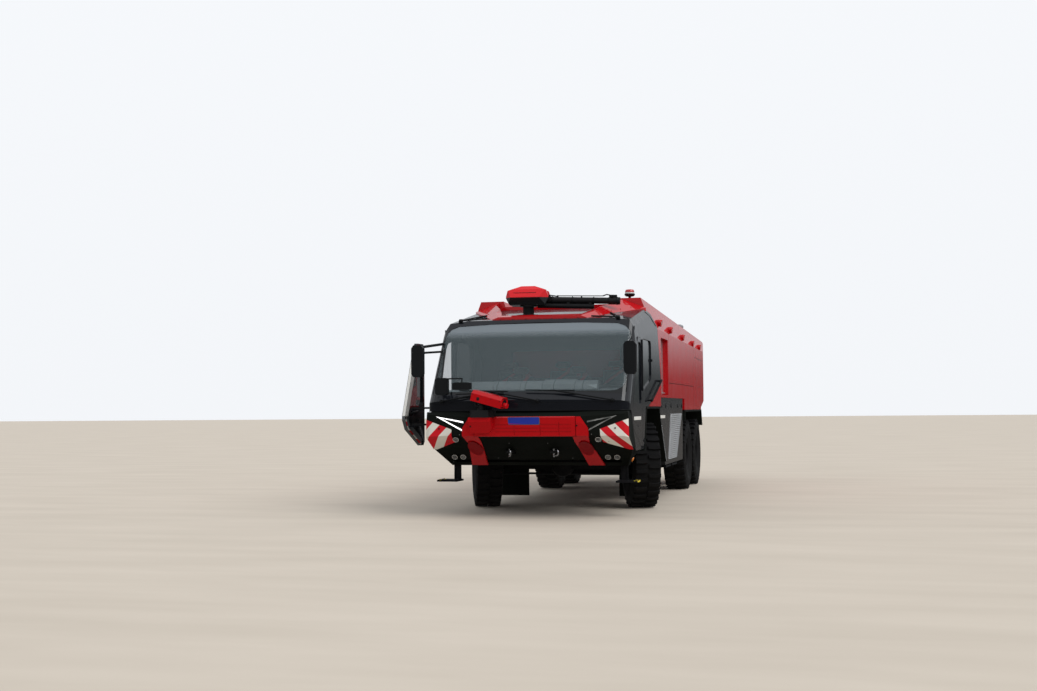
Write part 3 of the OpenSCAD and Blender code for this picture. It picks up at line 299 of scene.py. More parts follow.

# %% [markdown]
# The windscreen is one bowed sheet with a printed black border. Its tint is a thin veil that lets two thirds
# of the light pass, so that the seats and the dashboard stay visible. A lighter, denser band along the top is
# a painted reflection of the sky. Border and band follow the height up the slope and the distance from the
# centre plane.

# %% Glass
SCREEN_FOOT, RAKE = 1.790, math.radians(35)


def pane(name, tint, veil):
    """Tinted glass: a thin coloured veil that lets the rest of the light through."""
    bench = Bench(name, rough=0.03, coat=0.5)
    bench.give("Alpha", veil)
    return bench.done(bench.mottled(tint, 0.08, 1.5))


screen = Bench("windscreen_glass", rough=0.04, gloss=0.35)
up_slope = screen.math("DIVIDE", screen.math("SUBTRACT", screen.axis("Z"), SCREEN_FOOT), math.cos(RAKE))
off_centre = screen.math("ABSOLUTE", screen.math("SUBTRACT", screen.axis("X"), CENTRE.x))
near_side = screen.ramp(off_centre, 1.22, 1.415)
near_top = screen.ramp(up_slope, 1.10, 1.285)
near_foot = screen.ramp(up_slope, 0.22, 0.045)
near_end = screen.math("MAXIMUM", near_top, near_foot)
corner = screen.math("ADD", screen.math("POWER", near_side, 2.0), screen.math("POWER", near_end, 2.0))
border = screen.math("GREATER_THAN", corner, 0.998)
# The top band is a painted reflection of the sky: lighter in colour and denser than the rest of the glass
sky_glare_band = screen.ramp(up_slope, 1.02, 1.16)
tint = screen.blend(sky_glare_band, (0.11, 0.14, 0.15), (0.22, 0.255, 0.28))
screen.give("Alpha", screen.math("MAXIMUM", border, screen.ramp(sky_glare_band, 0.0, 1.0, 0.34, 0.72)))
SCREEN = screen.done(screen.blend(border, tint, (0.006, 0.007, 0.008)))
SIDE_GLASS = pane("side_glass", (0.016, 0.021, 0.024), 0.82)
CLEAR = pane("clear_lens", (0.75, 0.77, 0.78), 0.10)
FROSTED = pane("frosted_lens", (0.62, 0.64, 0.63), 0.85)

# The light strips: rows of small emitters under a frosted cover. The truck's right strip is switched on.
strip = Bench("light_strip", rough=0.2, coat=0.5)
cells = strip.node("ShaderNodeTexVoronoi", {"Scale": 62.0, "Randomness": 0.1, "Vector": strip.coord})
dots = strip.ramp(cells.outputs["Distance"], 0.25, 0.45, 1.0, 0.0)
lit = strip.math("LESS_THAN", strip.axis("X"), CENTRE.x)
strip.give("Emission Strength", strip.math("MULTIPLY", lit, 1.3))
strip.give("Emission Color", (1, 1, 1, 1))
off_cells = strip.blend(dots, (0.10, 0.105, 0.10), (0.42, 0.43, 0.41))
STRIP = strip.done(strip.blend(lit, off_cells, (0.9, 0.9, 0.9)))
print("glass:", SCREEN.name, SIDE_GLASS.name)

# %% [markdown]
# Each CAD node takes the finish of its slot in the record, and a few take one of their own. A node's shape is
# never touched here: only its material slot changes.

# %% Finishes of the CAD nodes
LOOK = {
    "red": RED, "black_paint": BLACK, "moulding": MOULDING, "dark_metal": STEEL, "iron": IRON, "alloy": ALLOY,
    "tyre": RUBBER, "trim_plastic": DASH, "fabric": CLOTH, "board": BOARD, "glass": SIDE_GLASS,
    "lens": STRIP, "red_lens": RUBY}
OWN_LOOK = {"windscreen": SCREEN, "turret_head": HOOD, "mirrors": BLACK_PLASTIC, "wipers": BLACK_PLASTIC,
            "steering_wheel": BLACK_PLASTIC, "steps": TREADPLATE}
for part in frame["record"]["subparts"]:
    mesh = NODES[part["node"]].data
    mesh.materials.clear()
    mesh.materials.append(OWN_LOOK.get(part["node"], LOOK[part["material_slot"]]))

# %% [markdown]
# The truck stands on a plain pale apron under an overcast sky. Diffuse light is white and even, with a weak,
# very soft sun for the shadow. The camera and the glass see the pale sky. What the gloss sees has a darker
# line at the horizon, where an airfield has its buildings and trees.

# %% Stage and light
bpy.ops.mesh.primitive_plane_add(size=400, location=(0, 0, -0.001))
apron = bpy.context.object
apron.name = "apron"
concrete = Bench("concrete", rough=0.9)
concrete.grain(0.2, 30.0)
slabs = concrete.blend(concrete.noise(0.35, 8.0, (1, 4, 1)), (0.47, 0.41, 0.335), (0.60, 0.53, 0.445))
apron.data.materials.append(concrete.done(slabs))
# The gloss sees the world's own darker ground, as if other vehicles stood round the truck
apron.visible_glossy = False

world = bpy.data.worlds.new("overcast")
scene.world = world
world.use_nodes = True
air = world.node_tree
path = new_node(air, "ShaderNodeLightPath").outputs
generated = new_node(air, "ShaderNodeTexCoord").outputs["Generated"]
upwards = new_node(air, "ShaderNodeSeparateXYZ", {0: generated}).outputs["Z"]
# The height runs from -1 to 1, and a colour ramp reads 0 to 1
height = new_node(air, "ShaderNodeMapRange", {"From Min": -1, "Value": upwards}).outputs["Result"]


def sky(stops):
    """A background whose colour follows the height of the direction, from a list of (height, colour)."""
    ramp = new_node(air, "ShaderNodeValToRGB", {"Fac": height})
    while len(ramp.color_ramp.elements) < len(stops):
        ramp.color_ramp.elements.new(0.5)
    for stop, (level, colour) in zip(ramp.color_ramp.elements, stops):
        stop.position = (level + 1) / 2
        stop.color = (*colour, 1)
    return new_node(air, "ShaderNodeBackground", {"Color": ramp.outputs["Color"]}).outputs["Background"]


def choose(ray, first, second):
    """The second background for one kind of ray, the first for all others."""
    return new_node(air, "ShaderNodeMixShader", {0: path[ray], 1: first, 2: second}).outputs["Shader"]


soft_light = sky([(-0.1, (0.42, 0.41, 0.39)), (0.1, (0.46, 0.48, 0.50)), (1.0, (1.02, 1.05, 1.10))])
pale_sky = sky([(0.0, (0.90, 0.92, 0.95)), (0.3, (0.92, 0.94, 0.97))])
seen_in_gloss = sky([(-0.01, (0.13, 0.12, 0.11)), (0.010, (0.06, 0.065, 0.065)), (0.026, (0.09, 0.10, 0.10)),
                     (0.060, (0.55, 0.58, 0.61)), (0.5, (0.80, 0.82, 0.85))])
bounced = choose("Is Glossy Ray", soft_light, seen_in_gloss)
through = choose("Is Transmission Ray", bounced, pale_sky)
feed(air, air.nodes["World Output"].inputs["Surface"], choose("Is Camera Ray", through, pale_sky))

sun = in_scene("sun", bpy.data.lights.new("sun", "SUN"))
sun.data.energy = 1.7
sun.data.angle = 0.7
sun.rotation_euler = (0.75, 0.30, 0.75)
scene.view_settings.view_transform = "Standard"
print("stage set")

# %% [markdown]
# New pieces are drawn as on the plan, in millimetres. A Draft collects them: blocks, turned parts, bent rods
# and cut plates. A draft may have its own axes, such as a wheel's or the turret's, and turns its points into
# the scene at the end. Doubles are merged and the faces are turned outwards before the piece is kept.


# %% Draft
class Draft:
    """Points and faces of one piece, drawn in millimetres about the axes of a matrix."""

    def __init__(self, axes=HERE):
        self.axes = axes
        self.points, self.faces, self.tags = [], [], []

    def add(self, points, faces, tag=0):
        base = len(self.points)
        self.points += [Vector(p) for p in points]
        self.faces += [[base + i for i in f] for f in faces]
        self.tags += [tag] * len(faces)

    def loops(self, rings, tag=0, closed=False):
        """Joins rings of equally many points, and caps both ends unless they close on each other."""
        n, last = len(rings[0]), len(rings) - 1
        pairs = [(r, r + 1) for r in range(last)] + ([(last, 0)] if closed else [])
        faces = [[a * n + k, a * n + (k + 1) % n, b * n + (k + 1) % n, b * n + k]
                 for a, b in pairs for k in range(n)]
        if not closed:
            faces += [list(range(n))[::-1], [last * n + k for k in range(n)]]
        self.add([p for ring in rings for p in ring], faces, tag)

    def block(self, x, y, z, tag=0):
        """A block between two values along each axis, which may come in either order on X."""
        near, far = sorted(x)
        ring = [(near, y[0]), (far, y[0]), (far, y[1]), (near, y[1])]
        self.loops([[(*p, h) for p in ring] for h in z], tag)

    def plate(self, outline, thickness, tag=0):
        """A flat outline in space, given a thickness as a vector."""
        shift = Vector(thickness)
        self.loops([[Vector(p) for p in outline], [Vector(p) + shift for p in outline]], tag)

    def turned(self, profile, centre=(0, 0, 0), axis=ACROSS, sides=28, tag=0, closed=False):
        """A turned part: a profile of (radius, place along the axis)."""
        turn = Vector(axis).to_track_quat("Z", "Y")
        rings = [[Vector(centre) + turn @ Vector((*p, h)) for p in circle(r, sides)] for r, h in profile]
        self.loops(rings, tag, closed)

    def rod(self, points, radius, sides=12, tag=0):
        """A round rod or pipe along a line of points."""
        line = [Vector(p) for p in points]
        rings, side = [], None
        for i, p in enumerate(line):
            tangent = (line[min(i + 1, len(line) - 1)] - line[max(i - 1, 0)]).normalized()
            side = side or (Vector(UP) if abs(tangent.z) < 0.9 else Vector(ACROSS))
            side = (side - side.dot(tangent) * tangent).normalized()
            other = tangent.cross(side)
            rings.append([p + a * side + b * other for a, b in circle(radius, sides)])
        self.loops(rings, tag)


def bend(points, steps=6):
    """Rounds the corners of a line of points with a smooth curve through their midpoints."""
    line = [Vector(p) for p in points]
    out = [line[0]]
    for a, b, c in zip(line, line[1:], line[2:]):
        start, end = (a + b) / 2, (b + c) / 2
        for k in range(steps + 1):
            t = k / steps
            out.append((1 - t) ** 2 * start + 2 * t * (1 - t) * b + t * t * end)
    return out + [line[-1]]


# Edges that turn by more than SHARP stay sharp and take the bevel. Points nearer than WELD metres are one.
SHARP, WELD = math.radians(38), 1e-5


def keep(name, mesh, body, bevel=0.0):
    """Puts a finished mesh in the scene on its body, with soft edges if a bevel is given, in metres."""
    mesh.shade_smooth()
    mesh.set_sharp_from_angle(angle=SHARP)
    piece = in_scene(name, mesh)
    if bevel:
        soft = piece.modifiers.new("soft_edges", "BEVEL")
        soft.width = bevel
        soft.segments = 2
        soft.limit_method = "ANGLE"
        soft.angle_limit = SHARP
    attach(piece, body)
    return piece


def mesh_of(draft, name, materials):
    """A draft as a mesh in the frame, welded and with its faces turned outwards."""
    mesh = bpy.data.meshes.new(name)
    mesh.from_pydata([place(*(draft.axes @ p)) for p in draft.points], [], draft.faces)
    for material in materials:
        mesh.materials.append(material)
    mesh.polygons.foreach_set("material_index", draft.tags)
    shape = bmesh.new()
    shape.from_mesh(mesh)
    bmesh.ops.remove_doubles(shape, verts=shape.verts, dist=WELD)
    bmesh.ops.recalc_face_normals(shape, faces=shape.faces)
    shape.to_mesh(mesh)
    shape.free()
    return mesh


def build(name, draft, materials, body="root", bevel=0.0):
    """Makes a piece of a draft. Tags in the draft choose among the materials."""
    piece = keep(name, mesh_of(draft, name, materials), body, bevel)
    print(name, len(piece.data.polygons), "faces on", body)
    return piece


# %% [markdown]
# Many fittings sit on a curved or sloping panel. A ray that is shot at the panel from outside finds the very
# point and the way the panel faces there, so a bolt or a lamp stands square on it.


# %% Finding a panel's surface
@functools.cache
def panel(name):
    """A search tree of one CAD node's faces."""
    data = NODES[name].data
    return BVHTree.FromPolygons([v.co for v in data.vertices], [p.vertices for p in data.polygons])


def surface(nodes, origin, aim):
    """Where a ray first meets the named nodes, in drawing millimetres, with the direction the panel faces."""
    hits = [panel(name).ray_cast(place(*origin), Vector(aim)) for name in nodes]
    hits = [hit for hit in hits if hit[0] is not None]
    if not hits:
        raise ValueError(f"no panel is met from {origin}")
    spot, normal, _, _ = min(hits, key=lambda hit: hit[3])
    return (spot - CENTRE) * 1000, normal


FRONT = ["front_bumper", "bumper_trim", "nose_panel", "hazard_boards"]


def on_front(x, z, nodes=FRONT):
    return surface(nodes, (x, -7000, z), BACK)


def on_side(y, z, nodes, side):
    return surface(nodes, (side * 2600, y, z), (-side, 0, 0))


def on_top(x, y, nodes):
    return surface(nodes, (x, y, 4500), DOWN)


print("bumper face at the middle:", [round(c) for c in on_front(0, 1300)[0]])

# %% [markdown]
# Bolts, rivets, screws and step teeth all repeat one small peg. A Geometry Nodes tree puts a tapered peg on
# every point and turns it to the point's own direction. The inputs are its radius, depth, number of sides and
# taper, so that the same tree makes a hexagon head and a round rivet.


# %% Pegs by Geometry Nodes
def new_tree(name, inputs):
    """A tree with geometry, a material and more inputs of (name, kind, value), and what those give."""
    tree = bpy.data.node_groups.new(name, "GeometryNodeTree")
    ports = [("Geometry", "INPUT", "Geometry", None), ("Geometry", "OUTPUT", "Geometry", None)]
    ports += [(title, "INPUT", kind, value) for title, kind, value in inputs]
    for title, way, kind, value in ports + [("Material", "INPUT", "Material", None)]:
        socket = tree.interface.new_socket(name=title, in_out=way, socket_type="NodeSocket" + kind)
        if value is not None:
            socket.default_value = value
    return tree, new_node(tree, "NodeGroupInput").outputs


def end_tree(tree, instances, material):
    """Realizes the instances and sets their material, the last two steps of every tree."""
    real = new_node(tree, "GeometryNodeRealizeInstances", {0: instances}).outputs[0]
    finish = new_node(tree, "GeometryNodeSetMaterial", {"Geometry": real, "Material": material})
    new_node(tree, "NodeGroupOutput", {0: finish.outputs[0]})


pegs, given = new_tree("pegs", [("Radius", "Float", 0.01), ("Depth", "Float", 0.01), ("Sides", "Int", 6),
                                ("Top share", "Float", 0.85)])
peg = new_node(pegs, "GeometryNodeMeshCone", {
    "Vertices": given["Sides"], "Radius Bottom": given["Radius"], "Depth": given["Depth"],
    "Radius Top": calculate(pegs, "MULTIPLY", given["Radius"], given["Top share"])})
facing = new_node(pegs, "GeometryNodeInputNamedAttribute", {"Name": "facing"})
facing.data_type = "FLOAT_VECTOR"
turn_peg = new_node(pegs, "FunctionNodeAlignRotationToVector", {"Vector": facing.outputs["Attribute"]})
turn_peg.axis = "Z"
stand = new_node(pegs, "GeometryNodeInstanceOnPoints", {
    "Points": given["Geometry"], "Instance": peg.outputs["Mesh"], "Rotation": turn_peg.outputs["Rotation"]})
end_tree(pegs, stand.outputs["Instances"], given["Material"])


def settled(piece):
    """The plain mesh of an object after its modifiers."""
    bpy.context.view_layer.update()
    return bpy.data.meshes.new_from_object(piece.evaluated_get(bpy.context.evaluated_depsgraph_get()))


def run_tree(piece, tree, values):
    """Runs a tree on an object, with its inputs set by name, and returns the plain mesh."""
    modifier = piece.modifiers.new(tree.name, "NODES")
    modifier.node_group = tree
    for socket in tree.interface.items_tree:
        if socket.in_out == "INPUT" and socket.name in values:
            modifier[socket.identifier] = values[socket.name]
    mesh = settled(piece)
    bpy.data.objects.remove(piece)
    return mesh


def peg_row(name, spots, radius, depth, material, body="root", sides=6, top_share=0.85, axes=HERE):
    """Pegs on a list of (point, direction), in drawing millimetres. Each stands half out of its surface."""
    points = bpy.data.meshes.new(name)
    points.from_pydata([place(*(axes @ Vector(p))) for p, _ in spots], [], [])
    ways = points.attributes.new("facing", "FLOAT_VECTOR", "POINT")
    turn = axes.to_3x3()
    ways.data.foreach_set("vector", [c for _, n in spots for c in (turn @ Vector(n)).normalized()])
    mesh = run_tree(in_scene(name + "_points", points), pegs, {
        "Radius": radius / 1000, "Depth": depth / 1000, "Sides": sides, "Top share": top_share,
        "Material": material})
    mesh.name = name
    piece = keep(name, mesh, body)
    print(name, len(spots), "pegs")
    return piece


# %% [markdown]
# The tyres are all-terrain ones: a smooth carcass with a rounded sidewall, and two rows of slanting blocks
# that are staggered about a narrow groove. The carcass is turned from its section. One block of each row is
# drawn, and a Geometry Nodes tree copies it round the wheel by its count. The CAD tyre keeps the collision.

# %% Axes of the moving parts
STEER, TRACK, KINGPIN, TYRE_R = 19.5, 1262, 1045, 670
AXLE_Y = {"1": -3000, "2": 1780, "3": 3400}


def shift(x, y, z):
    return Matrix.Translation(Vector((x, y, z)))


def spin(degrees, letter):
    return Matrix.Rotation(math.radians(degrees), 4, letter)


def moved(axes, points):
    return [axes @ Vector(p) for p in points]


FLIP = Matrix.Scale(-1, 4, Vector(ACROSS))


def wheel_axes(number, side):
    """A wheel's own axes: X outwards along its axle. The front wheels turn with their kingpins."""
    outwards = HERE if side == "left" else FLIP
    if number == "1":
        pin = shift(KINGPIN if side == "left" else -KINGPIN, AXLE_Y[number], TYRE_R) @ spin(STEER, "Z")
        return pin @ outwards @ shift(TRACK - KINGPIN, 0, 0)
    return outwards @ shift(TRACK, AXLE_Y[number], TYRE_R)


WHEELS = {f"{number}_{side}": wheel_axes(number, side) for number in AXLE_Y for side in ("left", "right")}
print("wheels", *WHEELS)

# %% Ring of copies by Geometry Nodes
ring, given = new_tree("ring", [("Count", "Int", 24)])
spots = new_node(ring, "GeometryNodeMeshLine", {"Count": given["Count"], "Offset": (0, 0, 0)})
number = new_node(ring, "GeometryNodeInputIndex").outputs[0]
pitch = calculate(ring, "DIVIDE", math.tau, given["Count"])
about_x = new_node(ring, "ShaderNodeCombineXYZ", {"X": calculate(ring, "MULTIPLY", number, pitch)})
copies = new_node(ring, "GeometryNodeInstanceOnPoints", {
    "Points": spots.outputs["Mesh"], "Instance": given["Geometry"], "Rotation": about_x.outputs[0]})
end_tree(ring, copies.outputs["Instances"], given["Material"])


def ring_mesh(draft, name, count, material):
    """A draft about the X axis, copied round it, as a list of points and faces in millimetres."""
    mesh = bpy.data.meshes.new(name)
    mesh.from_pydata([p / 1000 for p in draft.points], [], draft.faces)
    made = run_tree(in_scene(name + "_one", mesh), ring, {"Count": count, "Material": material})
    points, faces = [v.co * 1000 for v in made.vertices], [list(p.vertices) for p in made.polygons]
    bpy.data.meshes.remove(made)
    return points, faces


# %% Tyres
LUGS, FOOT, CROWN = 28, 628, 669.3
# Places across the tyre and angles round it: a block that slants back towards the groove, and its rib
OUTLINE = [(10, -0.055), (112, -0.035), (198, -0.048), (198, 0.040), (104, 0.052), (10, 0.034)]
RIB = [(198, -0.040), (198, 0.032), (205, 0.028), (205, -0.036)]


def on_tread(x, radius, angle):
    return x, radius * math.sin(angle), -radius * math.cos(angle)


lug = Draft()
for side, turn in ((1, 0.0), (-1, math.pi / LUGS)):
    lug.loops([[on_tread(side * min(x, edge), radius, a * grow + turn) for x, a in OUTLINE]
               for radius, grow, edge in ((FOOT, 1.0, 198), (CROWN - 8, 0.95, 198), (CROWN, 0.84, 190))])
    lug.loops([[on_tread(side * (x + push), radius, a + turn) for x, a in RIB]
               for radius, push in ((574, 4), (FOOT, -3), (CROWN - 14, -8))])
lug_points, lug_faces = ring_mesh(lug, "tread_block", LUGS, RUBBER)
section = [(262.4, 158), (274, 160.5), (290, 164), (298, 172), (318, 184), (326, 184), (400, 203), (452, 213),
           (458, 216), (510, 219.5), (560, 214), (600, 203), (622, 190), (634, 150), (637, 60), (637, 0)]
section += [(r, -x) for r, x in reversed(section[:-1])]
for name, axes in WHEELS.items():
    tyre = Draft(axes)
    tyre.turned(section, sides=84, closed=True)
    tyre.add(lug_points, lug_faces)
    piece = build("tread_" + name, tyre, [RUBBER], "wheel_" + name)
    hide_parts("tyre_" + name)

# %% [markdown]
# Each wheel is held by ten nuts round its hub, inside a steel rim. A hub cap with a flat face and small
# screws closes the planetary gear at the middle.

# %% Wheel nuts and hubs
for name, axes in WHEELS.items():
    for kind, x, reach, count, radius, depth, finish in (("nuts", 62, 182, 10, 17, 44, STEEL),
                                                         ("hub_screws", 112, 84, 8, 8, 12, GREY_TRIM)):
        spots = [((x, b, a), ACROSS) for a, b in circle(reach, count)]
        peg_row(f"{kind}_{name}", spots, radius, depth, finish, "wheel_" + name, axes=axes)
    cap = Draft(axes)
    cap.turned([(0, 110), (62, 110), (62, 117), (54, 123), (20, 125), (0, 125)], sides=36)
    cap.turned([(234, 120), (242, 128), (252, 166), (272, 172), (279, 178), (281, 174), (276, 166),
                (256, 160), (246, 122), (238, 112)], sides=64, closed=True)
    build("hub_" + name, cap, [IRON], "wheel_" + name)

# %% [markdown]
# The front is what one meets first. Three round lamps a side sit in the cut-back face of the bumper and aim
# half way between that face and the road ahead. Each has a black shell, a pale ring, a reflector bowl, a bulb
# and a domed lens. The red legs' dishes are rings of points that are dropped on the bumper and lifted off it,
# in a darker red that is painted shade in their hollows.

# %% Front lamps
LAMPS = [(HALF_W - 439, 1150), (HALF_W - 395, 880), (HALF_W - 263, 880)]
RING, BOWL, COVER, BULB, DISH, SHELL = range(6)
LAMP_PARTS = [(SHELL, 32, [(42, -26), (46, -20), (46, 20), (45, 24), (42, 24)]),
              (RING, 32, [(43, 22), (42, 27), (39, 28), (38, 23)]),
              (BOWL, 32, [(38, 22), (30, 15), (18, 11), (6, 10)]),
              (COVER, 32, [(38, 24), (26, 27), (10, 28.5)]),
              (BULB, 14, [(11, 12), (10, 18), (5, 20)])]
DISH_RINGS = [(103, 14.2), (103, 26), (98, 25), (88, 19), (60, 16.5), (12, 15.4)]


def on_bumper(x, z, lift=0):
    """A point at a height above the bumper's own surface."""
    spot, normal = on_front(x, z, ["front_bumper"])
    return spot + normal * lift


units = Draft()
for side in (-1, 1):
    for x, z in LAMPS:
        spot, normal = on_front(side * x, z, ["front_bumper"])
        for tag, sides, profile in LAMP_PARTS:
            units.turned(profile, spot, normal + Vector((0, -0.75, 0)), sides, tag)
    middle = side * (HALF_W - 659)
    # The dishes take the darker red: painted shade in their hollows
    units.loops([[on_bumper(middle + a, 1020 + b, lift) for a, b in circle(radius, 40)]
                 for radius, lift in DISH_RINGS], DISH)
build("lamp_units", units, [WHITE, CHROME, CLEAR, WHITE, PAINTED_SHADE_RED, BLACK_PLASTIC])


def islands(shape):
    """The separate solids of a mesh, as sets of points."""
    left, found = set(shape.verts), []
    while left:
        group, front = set(), [left.pop()]
        while front:
            vert = front.pop()
            group.add(vert)
            fresh = {edge.other_vert(vert) for edge in vert.link_edges} & left
            left -= fresh
            front += fresh
        found.append(group)
    return found


# The light strips keep the form of the CAD node: its other six solids, the round ones, are left behind
strips = bmesh.new()
strips.from_mesh(NODES["front_lamps"].data)
bmesh.ops.remove_doubles(strips, verts=strips.verts, dist=WELD)
round_ones = []
for group in islands(strips):
    across, heights = [v.co.x for v in group], [v.co.z for v in group]
    if max(across) - min(across) < 0.15 or max(heights) < 1.2:
        round_ones += group
bmesh.ops.delete(strips, geom=round_ones, context="VERTS")
strip_mesh = bpy.data.meshes.new("light_strips")
strips.to_mesh(strip_mesh)
strips.free()
strip_mesh.materials.append(STRIP)
light_strips = keep("light_strips", strip_mesh, "root")
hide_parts("front_lamps")

# %% [markdown]
# The number plate stays a bare blue sheet in a thin frame. Beside it go the fasteners that the photograph
# shows: quarter-turn locks on the red legs, one bolt in each hazard board, and screws in the grey moulding.

# %% Plate and fasteners of the bumper
plate = Draft()
low_y, high_y = on_front(0, 1347)[0].y, on_front(0, 1448)[0].y
for grow, lift, thick, tag in ((0, 5, 4, 1), (-7, 9, 1.6, 0)):
    w, low, high = 232 + grow, 1347 - grow, 1459 + grow
    outline = [(-w + 8, low), (w - 8, low), (w, low + 8), (w, high - 8), (w - 8, high), (-w + 8, high),
               (-w, high - 8), (-w, low + 8)]
    plate.plate([(x, (low_y if z < 1400 else high_y) - lift, z) for x, z in outline], (0, -thick, 0), tag)
build("plate_blank", plate, [BLUE, GREY_TRIM], bevel=0.0012)

locks = [on_front(x, z) for x, z in ((-760, 1333), (760, 1333), (-1275, 1296), (1300, 1296))]
peg_row("quarter_turn_locks", locks, 12, 12, BLACK_PLASTIC, sides=20)
screws = [on_front(side * x, z) for side in (-1, 1)
          for x, z in ((285, 1089), (965, 1212), (1290, 795), (560, 860), (1180, 1110))]
peg_row("bumper_screws", screws, 9, 10, CHROME)

# %% [markdown]
# Two forged shackles hang in the tow eyes. Each has an upright pin through the bore of the plate and a bow in
# front of it. The pin keeps clear of the bore, and the bow clears the slanting face of the moulding.

# %% Shackles
BOW_LINE = [(0, 46), (62, 52), (112, 40), (128, 0), (112, -40), (62, -52), (0, -46)]
shackles = Draft()
for side, swing in ((-1, 0.35), (1, 0.75)):
    pin = Vector((side * 330, -5150, 950))
    shackles.rod([pin - Vector((0, 0, 72)), pin + Vector((0, 0, 76))], 15)
    shackles.turned([(26, 66), (26, 82), (20, 86)], pin, UP, 6)
    outwards = Vector((math.sin(swing), -math.cos(swing), 0))
    shackles.rod(bend([pin + outwards * out + Vector((0, 0, z)) for out, z in BOW_LINE]), 12)
build("shackles", shackles, [CHROME], bevel=0.002)

# %% [markdown]
# A thin ledge closes the joint between the nose and the bumper, and follows the bow of the front. It is swept
# along the same plan that the CAD source gives the nose. A finer line runs where the lid of the wiper motors
# ends, and three round washer covers sit above it.

# %% Ledge of the nose
BOW, CORNER = 60, 150


def nose_line(out, z):
    """The nose's outline from side to side at one height, moved outwards."""
    half = [(0, -out), ((HALF_W - CORNER) / 2, BOW / 4 - out)]
    for x, y in [(math.sin(a), math.cos(a)) for a in (math.radians(18 * k) for k in range(6))]:
        half.append((HALF_W - CORNER + (CORNER + out) * x, BOW + CORNER - (CORNER + out) * y))
    return [(-x, y - NOSE, z) for x, y in half[:0:-1]] + [(x, y - NOSE, z) for x, y in half]


ledge = Draft()
ledge.rod(nose_line(1, 1549), 5, 8)
ledge.rod(nose_line(0.5, 1668), 2.2, 6)
for x, back in ((-1250, 15), (190, -40), (1260, 15)):
    ledge.turned([(24, 0), (24, 10), (14, 18), (6, 20)], (x, back - NOSE, 1690), AHEAD, 20)
build("nose_trim", ledge, [BLACK_PLASTIC])

# %% [markdown]
# Struts tie the red frame on the roof to knobs above the windscreen's corners, and bolts hold its front bar.

# %% Struts and bolts of the roof frame
struts = Draft()
for side in (-1, 1):
    knob = on_top(side * 1225, -4640, ["cab_roof", "cab_frame", "windscreen"])[0] + Vector((0, -20, 22))
    leg_end = on_top(side * 960, -4000, ["roof_visor"])[0]
    struts.rod([knob, (side * 800, -4622, 2945)], 11)
    struts.rod([knob, leg_end + Vector((side * 20, 0, -6))], 11)
    struts.turned([(16, -48), (27, -44), (27, 0), (20, 10)], knob, (side, 0, 0), 18)
    struts.turned([(17, -26), (17, 0)], knob, UP, 14)
build("roof_struts", struts, [BLACK_PLASTIC])
bolts = [on_front(x, 2935, ["roof_visor"]) for x in range(-600, 601, 200)]
bolts += [on_top(side * x, y, ["roof_visor"]) for side in (-1, 1)
          for x, y in ((980, -3920), (1080, -3680), (1200, -3400))]
peg_row("roof_frame_bolts", bolts, 10, 9, RUBY)

# %% [markdown]
# The warning beacon has a black foot and rim, a clear band and a red dome, all turned from one profile each.
# The ten scene lights are red cups that look out and a little down, with a rimmed lens in front. They replace
# the CAD lamps, in the same places.

# %% Beacon and scene lights
BEACON = [[(44, 12), (44, 24), (24, 30), (20, 60), (24, 70), (62, 76), (80, 92), (84, 104), (84, 116),
           (78, 119)], [(76, 118), (74, 140), (73, 142)],
          [(76, 141), (75, 156), (70, 172), (60, 183), (30, 187), (10, 187.6)]]
beacon = Draft()
for tag, profile in enumerate(BEACON):
    beacon.turned(profile, (HALF_W - 375, -2940, 3290), UP, 32, tag)
build("beacon", beacon, [BLACK_PLASTIC, FROSTED, RUBY])

SCENE_SPOTS = [(-2117, 2980), (-740, 2942), (1047, 2905), (2700, 2868), (3950, 2850)]
CUP = [(0, [(30, -84), (40, -78), (52, -40), (57, -18), (58, 26), (58, 34), (53, 35), (52, 28)]),
       (1, [(52, 27), (40, 31), (18, 34), (4, 34.5)]), (0, [(59, 8), (61, 12), (61, 18), (59, 22)])]
DIP = math.radians(10)
cups = Draft()
for side in (-1, 1):
    aim = (side * math.cos(DIP), 0, -math.sin(DIP))
    for y, z in SCENE_SPOTS:
        for tag, profile in CUP:
            cups.turned(profile, (side * (HALF_W - 10), y, z), aim, 30, tag)
scene_lights = build("scene_lamps", cups, [RED, FROSTED])
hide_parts("scene_lights")

# %% [markdown]
# The roof turret: under the red hood a yoke carries the barrel. The barrel's own parts are drawn along its
# axis, in the turret's axes, so that they turn and lift with it: flanges, a linkage near the head, and the
# chunky nozzle with its lever box at the tip.

# %% Turret details
turret = shift(-325, -3930, 3269) @ spin(5, "Z")
barrel = turret @ shift(130, 0, 0) @ spin(2, "Y")
nozzle = Draft(barrel)
nozzle.turned([(50, 1118), (60, 1122), (60, 1136), (54, 1140), (54, 1196), (57.5, 1200), (57.5, 1236),
               (50, 1240)])
nozzle.turned([(58.5, 1240), (63, 1246), (63, 1262), (58.5, 1268)])
nozzle.turned([(58, 1299), (50, 1299.8), (42, 1290), (38, 1150)])
